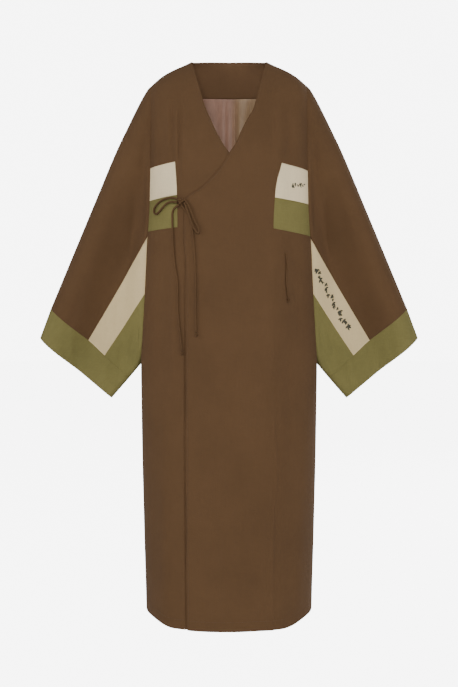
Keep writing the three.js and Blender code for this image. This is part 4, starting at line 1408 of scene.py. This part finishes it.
def inset_line(sheet, border, distance, first, last):
    """Line on a sheet that keeps its distance from one border; points with normals."""
    grid = SHEETS[sheet]
    if border in ("top", "bottom"):
        grid = grid.transpose(1, 0, 2)
    if border in ("last", "bottom"):
        grid = grid[::-1]
    end = grid.shape[1] - 1
    grid = grid[:, round(first * end) : round(last * end) + 1]
    reach = np.linalg.norm(np.diff(grid[..., :3], axis=0), axis=2)
    reach = np.concatenate([np.zeros((1, grid.shape[1])), np.cumsum(reach, axis=0)])
    columns = range(grid.shape[1])
    return np.array([[np.interp(distance, reach[:, m], grid[:, m, n]) for n in range(6)] for m in columns])


def stitch_frames(line, pitch, length, width):
    """Frames of the stitches along a line of points with normals."""
    steps = np.linalg.norm(np.diff(line[:, :3], axis=0), axis=1)
    reach = np.concatenate([[0], np.cumsum(steps)])
    count = int(reach[-1] / pitch)
    frames = []
    for n in range(count):
        middle = (n + 0.5) * pitch
        here, ahead = (
            np.array([np.interp(at, reach, line[:, m]) for m in range(6)])
            for at in (middle, middle + pitch / 4)
        )
        along = ahead[:3] - here[:3]
        size = np.linalg.norm(along)
        if size < 1e-9:
            continue
        along /= size
        up = here[3:] - along * (here[3:] @ along)
        up /= np.linalg.norm(up)
        across = np.cross(up, along)
        frames.append((here[:3] + up * width * 0.12, along * length, across * width, up * width * 0.7))
    return frames


# Distances of the stitch lines from the edges that they follow.
EDGE_STITCH = 0.0045
HEM_STITCH = 0.022
SLEEVE_STITCH = 0.0025
INSET_STITCH = 0.0022
CUFF_STITCH = 0.006


class KAFTAN_OT_sewing(bpy.types.Operator):
    """Stitch the edges, insets, cuffs and hem"""

    bl_idname = "kaftan.sewing"
    bl_label = "Sewing"

    def execute(self, context):
        brown = [
            ("front_right_under", "last", EDGE_STITCH, 0.0, 1.0),
            ("front_left_over", "last", EDGE_STITCH, 0.0, 1.0),
            ("front_right_under", "bottom", HEM_STITCH, 0.05, 0.98),
            ("front_left_over", "bottom", HEM_STITCH, 0.05, 0.98),
            ("back_panel", "bottom", HEM_STITCH, 0.03, 0.97),
            ("back_panel", "top", EDGE_STITCH, 0.29, 0.71),
        ]
        linen, olive = [], []
        for side in ("right", "left"):
            main, strip, cuff = (f"{piece}_{side}" for piece in ("sleeve_main", "sleeve_strip", "cuff_band"))
            pale, dark = (f"chest_{kind}_{side}" for kind in ("linen", "olive"))
            brown += [(main, "first", SLEEVE_STITCH, 0.02, 1.0), (main, "bottom", SLEEVE_STITCH, 0.01, 0.97)]
            linen += [(pale, border, INSET_STITCH, 0.0, 1.0) for border in ("last", "top")]
            linen += [(strip, "first", INSET_STITCH, 0.02, 1.0), (strip, "bottom", INSET_STITCH, 0.0, 1.0)]
            olive += [(dark, border, INSET_STITCH, 0.0, 1.0) for border in ("last", "bottom", "top")]
            olive += [(cuff, "top", SLEEVE_STITCH, 0.0, 1.0), (cuff, "bottom", CUFF_STITCH, 0.0, 1.0)]
        for slot, lines in (("brown", brown), ("linen", linen), ("olive", olive)):
            self.run(lines, slot)
        return {"FINISHED"}

    def run(self, lines, kind):
        """Makes all stitches of one thread; a line is a sheet, its border, a distance and two shares."""
        sizes = cloth_settings()
        frames = []
        for sheet, border, distance, first, last in lines:
            line = inset_line(sheet, border, distance, first, last)
            frames += stitch_frames(line, sizes.stitch_pitch, sizes.stitch_length, sizes.stitch_width)
        joined(f"{kind}_stitches", unit_grain(6, 4), frames, thread(kind))


# ---- operators: embroidery ----
def on_cloth(sheet, x, z):
    """Point and normal of a sheet at a place of its front view."""
    grid = SHEETS[sheet].reshape(-1, 6)
    facing = grid[grid[:, 4] < -0.2]
    near = facing[np.argmin((facing[:, 0] - x) ** 2 + (facing[:, 2] - z) ** 2)]
    point, normal = near[:3], near[3:]
    y = point[1] - (normal[0] * (x - point[0]) + normal[2] * (z - point[2])) / normal[1]
    return np.array([x, y, z]), normal


def leaf_frame(sheet, x, z, angle, length, width):
    """Frame of a leaf that starts at a place of the front view and points along an angle."""
    origin, up = on_cloth(sheet, x, z)
    along = np.array([math.cos(angle), 0, math.sin(angle)])
    along = along - up * (along @ up)
    along /= np.linalg.norm(along)
    across = np.cross(up, along)
    middle = origin + along * length / 2 + up * 0.00012
    return middle, along * length, across * width, up * 0.0009


# Leaves of a bunch: angle off the stem and share of the full length.
LEAF_BUNCH = [(0.60, 1.0), (1.35, 0.80), (-0.90, 0.72), (0.05, 0.66), (2.10, 0.60)]

VINE_STEP = 0.0015
STEM_STITCH = (0.0020, 0.0023, 0.0007)  # pitch, length, width

# Vines: sheet, start, end, sway, waves, number of bunches, leaf length.
VINES = [
    ("sleeve_strip_left", (0.2040, -0.466), (0.2845, -0.608), 0.0036, 4.5, 20, 0.0108),
    ("chest_linen_left", (0.1435, -0.2770), (0.1745, -0.2715), 0.0016, 1.0, 5, 0.0082),
]


class KAFTAN_OT_sprigs(bpy.types.Operator):
    """Embroider a running leaf sprig on the left strip and a small one on the left pale inset"""

    bl_idname = "kaftan.sprigs"
    bl_label = "Leaf sprigs"

    def execute(self, context):
        silk = thread("sprig", rough=0.5)
        stem, leaves = [], []
        for sheet, start, end, *style in VINES:
            self.vine(sheet, start, end, stem, leaves, style)
        joined("sprig_leaves", unit_grain(8, 8, 0.35), leaves, silk)
        joined("sprig_stems", unit_grain(6, 4), stem, silk)
        return {"FINISHED"}

    def vine(self, sheet, start, end, stem, leaves, style):
        """A swaying stem in back stitch with bunches of leaves on alternate sides."""
        sway, waves, bunches, leaf = style
        run_x, run_z = end[0] - start[0], end[1] - start[1]
        run = math.hypot(run_x, run_z)
        heading = math.atan2(run_z, run_x)

        def place(share):
            off = sway * math.sin(2 * math.pi * waves * share)
            return (
                start[0] + run_x * share - math.sin(heading) * off,
                start[1] + run_z * share + math.cos(heading) * off,
            )

        line = []
        for n in range(int(run / VINE_STEP)):
            point, normal = on_cloth(sheet, *place(n * VINE_STEP / run))
            line.append([*point, *normal])
        stem.extend(stitch_frames(np.array(line), *STEM_STITCH))
        for n in range(bunches):
            share = (n + 0.5) / bunches
            x, z = place(share)
            side = 1 if n % 2 else -1
            size = leaf * (0.82 + 0.28 * math.sin(2.3 * n + 1))
            for spread_angle, scale in LEAF_BUNCH[: 5 - (n % 3 == 2) - (n % 5 == 1)]:
                turn = heading + side * spread_angle + 0.2 * math.sin(1.7 * n + 5 * scale)
                leaves.append(leaf_frame(sheet, x, z, turn, size * scale, size * scale * 0.50))
        x, z = place(0.99)
        leaves.append(leaf_frame(sheet, x, z, heading, leaf * 0.9, leaf * 0.4))


# ---- operator: stage ----
# Soft boxes: name, place, size.
LAMPS = [
    ("front", (-0.25, -4.4, 0.8), 1.8),
    ("key", (-3.6, -1.9, 0.8), 1.6),
    ("fill", (3.6, -2.1, 0.1), 2.2),
    ("back", (2.3, 3.3, 1.0), 2.2),
]
LIT_PLACE = (0, 0, -0.55)
FLOOR_RADIUS = 14.0


class KAFTAN_OT_stage(bpy.types.Operator):
    """Set the floor, the soft lights and the camera"""

    bl_idname = "kaftan.stage"
    bl_label = "Stage"

    def execute(self, context):
        stage = context.scene.kaftan_stage
        bm = bmesh.new()
        bmesh.ops.create_circle(bm, cap_ends=True, segments=96, radius=FLOOR_RADIUS)
        bmesh.ops.translate(bm, verts=bm.verts, vec=(0, 0, HEM_Z - stage.floor_drop))
        mesh = bpy.data.meshes.new("floor")
        bm.to_mesh(mesh)
        bm.free()
        floor = bpy.data.objects.new("floor", mesh)
        context.scene.collection.objects.link(floor)
        mesh.materials.append(self.floor_paint(stage.floor_colour))
        powers = (stage.front_power, stage.key_power, stage.fill_power, stage.back_power)
        for (name, place, size), power in zip(LAMPS, powers):
            self.light(name, place, size, power)
        context.scene.world = self.surroundings(stage)
        self.camera(context, stage)
        return {"FINISHED"}

    def surroundings(self, stage):
        """White surroundings that look brighter than the light that they give."""
        world = bpy.data.worlds.new("studio")
        world.use_nodes = True
        tree = world.node_tree
        backdrop = tree.nodes["Background"]
        backdrop.inputs["Color"].default_value = (1.0, 1.0, 1.0, 1)
        seen = tree.nodes.new("ShaderNodeLightPath")
        strength = tree.nodes.new("ShaderNodeMapRange")
        strength.inputs["To Min"].default_value = stage.world_light
        strength.inputs["To Max"].default_value = stage.backdrop_light
        tree.links.new(seen.outputs["Is Camera Ray"], strength.inputs["Value"])
        tree.links.new(strength.outputs["Result"], backdrop.inputs["Strength"])
        return world

    def floor_paint(self, colour):
        """Matt pale paint, lifted for the camera to meet the surroundings."""
        paint = Paint("floor_paint")
        seen = paint.node("LightPath").outputs["Is Camera Ray"]
        lift = bpy.context.scene.kaftan_stage.floor_lift
        paint.shade(
            Base_Color=tint(colour),
            Roughness=0.8,
            Emission_Color=(1, 1, 1, 1),
            Emission_Strength=paint.ranged(seen, 0, 1, 0, lift),
        )
        return paint.material

    def light(self, name, place, size, power):
        """A square soft box aimed at the middle of the garment."""
        lamp = bpy.data.lights.new(name, "AREA")
        lamp.size = size
        lamp.energy = power
        source = bpy.data.objects.new(name, lamp)
        bpy.context.scene.collection.objects.link(source)
        source.location = place
        aim = Vector(LIT_PLACE) - Vector(place)
        source.rotation_euler = aim.to_track_quat("-Z", "Y").to_euler()

    def camera(self, context, stage):
        """A level camera with a small drop of the lens, so that upright lines stay upright."""
        lens = bpy.data.cameras.new("camera")
        lens.sensor_width = 36.0
        lens.lens = lens.sensor_width * stage.camera_distance / stage.view_height
        lens.shift_y = -stage.lens_drop
        lens.clip_end = 60.0
        camera = bpy.data.objects.new("camera", lens)
        context.scene.collection.objects.link(camera)
        camera.location = (0, -stage.camera_distance, stage.camera_height)
        camera.rotation_euler = (math.pi / 2, 0, 0)
        context.scene.camera = camera


# ---- settings and panel ----
class KaftanClothSettings(bpy.types.PropertyGroup):
    """Sizes of the cloth and its sewing."""

    wall: FloatProperty(
        name="Cloth wall", description="Thickness of the outer cloth", default=0.0016, unit="LENGTH"
    )
    lining_wall: FloatProperty(
        name="Lining wall",
        description="Thickness of the facing and the lining",
        default=0.0011,
        unit="LENGTH",
    )
    crease: FloatProperty(
        name="Crease depth",
        description="Share of the full depth of every crease",
        default=1.0,
        subtype="FACTOR",
    )
    stitch_pitch: FloatProperty(
        name="Stitch pitch",
        description="Distance from one stitch to the next",
        default=0.0034,
        unit="LENGTH",
    )
    stitch_length: FloatProperty(
        name="Stitch length",
        description="Length of the thread that shows",
        default=0.0026,
        unit="LENGTH",
    )
    stitch_width: FloatProperty(
        name="Thread width", description="Width of the thread", default=0.0006, unit="LENGTH"
    )


class KaftanColourSettings(bpy.types.PropertyGroup):
    """Colours of the pieces."""

    brown: FloatVectorProperty(
        name="Brown cloth",
        description="Fronts, back and sleeves",
        default=(0.088, 0.0465, 0.0205),
        subtype="COLOR",
    )
    linen: FloatVectorProperty(
        name="Pale linen",
        description="Chest insets",
        default=(0.740, 0.605, 0.385),
        subtype="COLOR",
    )
    strip: FloatVectorProperty(
        name="Strip linen",
        description="Pale strips of the sleeves",
        default=(0.590, 0.455, 0.248),
        subtype="COLOR",
    )
    olive: FloatVectorProperty(
        name="Olive cloth",
        description="Insets, gussets and cuff bands",
        default=(0.158, 0.137, 0.045),
        subtype="COLOR",
    )
    # Same brown cloth as the fronts, painted lighter: painted light against the shade inside the back neck.
    facing: FloatVectorProperty(
        name="Facing",
        description="Facing inside the back neck",
        default=(0.152, 0.083, 0.041),
        subtype="COLOR",
    )
    tie: FloatVectorProperty(
        name="Ties",
        description="Bow, tails and string",
        default=(0.081, 0.042, 0.017),
        subtype="COLOR",
    )
    lining_rose: FloatVectorProperty(
        name="Rosy lining",
        description="Lining on the wearer's right",
        default=(0.345, 0.185, 0.125),
        subtype="COLOR",
    )
    lining_sand: FloatVectorProperty(
        name="Sand lining",
        description="Lining on the wearer's left",
        default=(0.325, 0.205, 0.110),
        subtype="COLOR",
    )
    brown_thread: FloatVectorProperty(
        name="Brown thread",
        description="Thread on the brown cloth",
        default=(0.079, 0.041, 0.018),
        subtype="COLOR",
    )
    linen_thread: FloatVectorProperty(
        name="Pale thread",
        description="Thread on the linen",
        default=(0.66, 0.55, 0.37),
        subtype="COLOR",
    )
    olive_thread: FloatVectorProperty(
        name="Olive thread",
        description="Thread on the olive cloth",
        default=(0.148, 0.118, 0.039),
        subtype="COLOR",
    )
    sprig: FloatVectorProperty(
        name="Sprig thread",
        description="Thread of the leaf sprigs",
        default=(0.038, 0.036, 0.019),
        subtype="COLOR",
    )


class KaftanTieSettings(bpy.types.PropertyGroup):
    """Sizes of the cords."""

    tie: FloatProperty(
        name="Tie", description="Diameter of the bow and its tails", default=0.0045, unit="LENGTH"
    )
    string: FloatProperty(
        name="String", description="Diameter of the side string", default=0.0034, unit="LENGTH"
    )


class KaftanStageSettings(bpy.types.PropertyGroup):
    """Floor, lights and camera."""

    floor_drop: FloatProperty(
        name="Floor drop", description="Floor below the hem", default=0.30, unit="LENGTH"
    )
    floor_colour: FloatVectorProperty(
        name="Floor colour",
        description="Paint of the floor",
        default=(0.86, 0.86, 0.86),
        subtype="COLOR",
    )
    floor_lift: FloatProperty(
        name="Floor lift", description="Brightness added to the floor as seen", default=6.5
    )
    front_power: FloatProperty(
        name="Front light", description="Power of the front light", default=121.0, unit="POWER"
    )
    key_power: FloatProperty(
        name="Key light", description="Power of the key light", default=42.0, unit="POWER"
    )
    fill_power: FloatProperty(
        name="Fill light", description="Power of the fill light", default=38.0, unit="POWER"
    )
    back_power: FloatProperty(
        name="Back light", description="Power of the back light", default=88.0, unit="POWER"
    )
    world_light: FloatProperty(
        name="World light", description="Light that the white surroundings give", default=0.46
    )
    backdrop_light: FloatProperty(
        name="Backdrop", description="Brightness of the surroundings as seen", default=7.2
    )
    camera_distance: FloatProperty(
        name="Camera distance",
        description="Camera in front of the shoulders",
        default=2.6,
        unit="LENGTH",
    )
    camera_height: FloatProperty(
        name="Camera height", description="Camera above the mount", default=-0.5173, unit="LENGTH"
    )
    view_height: FloatProperty(
        name="View height",
        description="Height of the view at the mount",
        default=1.6488,
        unit="LENGTH",
    )
    lens_drop: FloatProperty(
        name="Lens drop", description="Lens shift, as a share of the frame's height", default=0.0779
    )


class KAFTAN_PT_panel(bpy.types.Panel):
    """The kaftan's settings and its operators"""

    bl_label = "Wrap kaftan"
    bl_idname = "KAFTAN_PT_panel"
    bl_space_type = "VIEW_3D"
    bl_region_type = "UI"
    bl_category = "Kaftan"

    def draw(self, context):
        column = self.layout.column()
        for group in ("kaftan_cloth", "kaftan_colours", "kaftan_ties", "kaftan_stage"):
            settings = getattr(context.scene, group)
            for name in settings.bl_rna.properties.keys():
                if name not in ("rna_type", "name"):
                    column.prop(settings, name)
        for operator in OPERATORS:
            column.operator(operator.bl_idname)


OPERATORS = [
    KAFTAN_OT_stage,
    KAFTAN_OT_ties,
    KAFTAN_OT_fronts,
    KAFTAN_OT_chest_insets,
    KAFTAN_OT_back,
    KAFTAN_OT_sleeves,
    KAFTAN_OT_sewing,
    KAFTAN_OT_sprigs,
]
SETTINGS = {
    "kaftan_cloth": KaftanClothSettings,
    "kaftan_colours": KaftanColourSettings,
    "kaftan_ties": KaftanTieSettings,
    "kaftan_stage": KaftanStageSettings,
}


def register():
    """Registers the settings, the operators and the panel."""
    for name, kind in SETTINGS.items():
        bpy.utils.register_class(kind)
        setattr(bpy.types.Scene, name, PointerProperty(type=kind))
    for kind in [*OPERATORS, KAFTAN_PT_panel]:
        bpy.utils.register_class(kind)


def unregister():
    """Takes them out again."""
    for kind in [KAFTAN_PT_panel, *reversed(OPERATORS)]:
        bpy.utils.unregister_class(kind)
    for name, kind in SETTINGS.items():
        delattr(bpy.types.Scene, name)
        bpy.utils.unregister_class(kind)


def main():
    """Makes the whole garment."""
    register()
    bpy.ops.kaftan.stage()
    bpy.ops.kaftan.ties()
    bpy.ops.kaftan.fronts()
    bpy.ops.kaftan.chest_insets()
    bpy.ops.kaftan.back()
    bpy.ops.kaftan.sleeves()
    bpy.ops.kaftan.sewing()
    bpy.ops.kaftan.sprigs()
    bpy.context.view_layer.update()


if __name__ == "__main__":
    main()
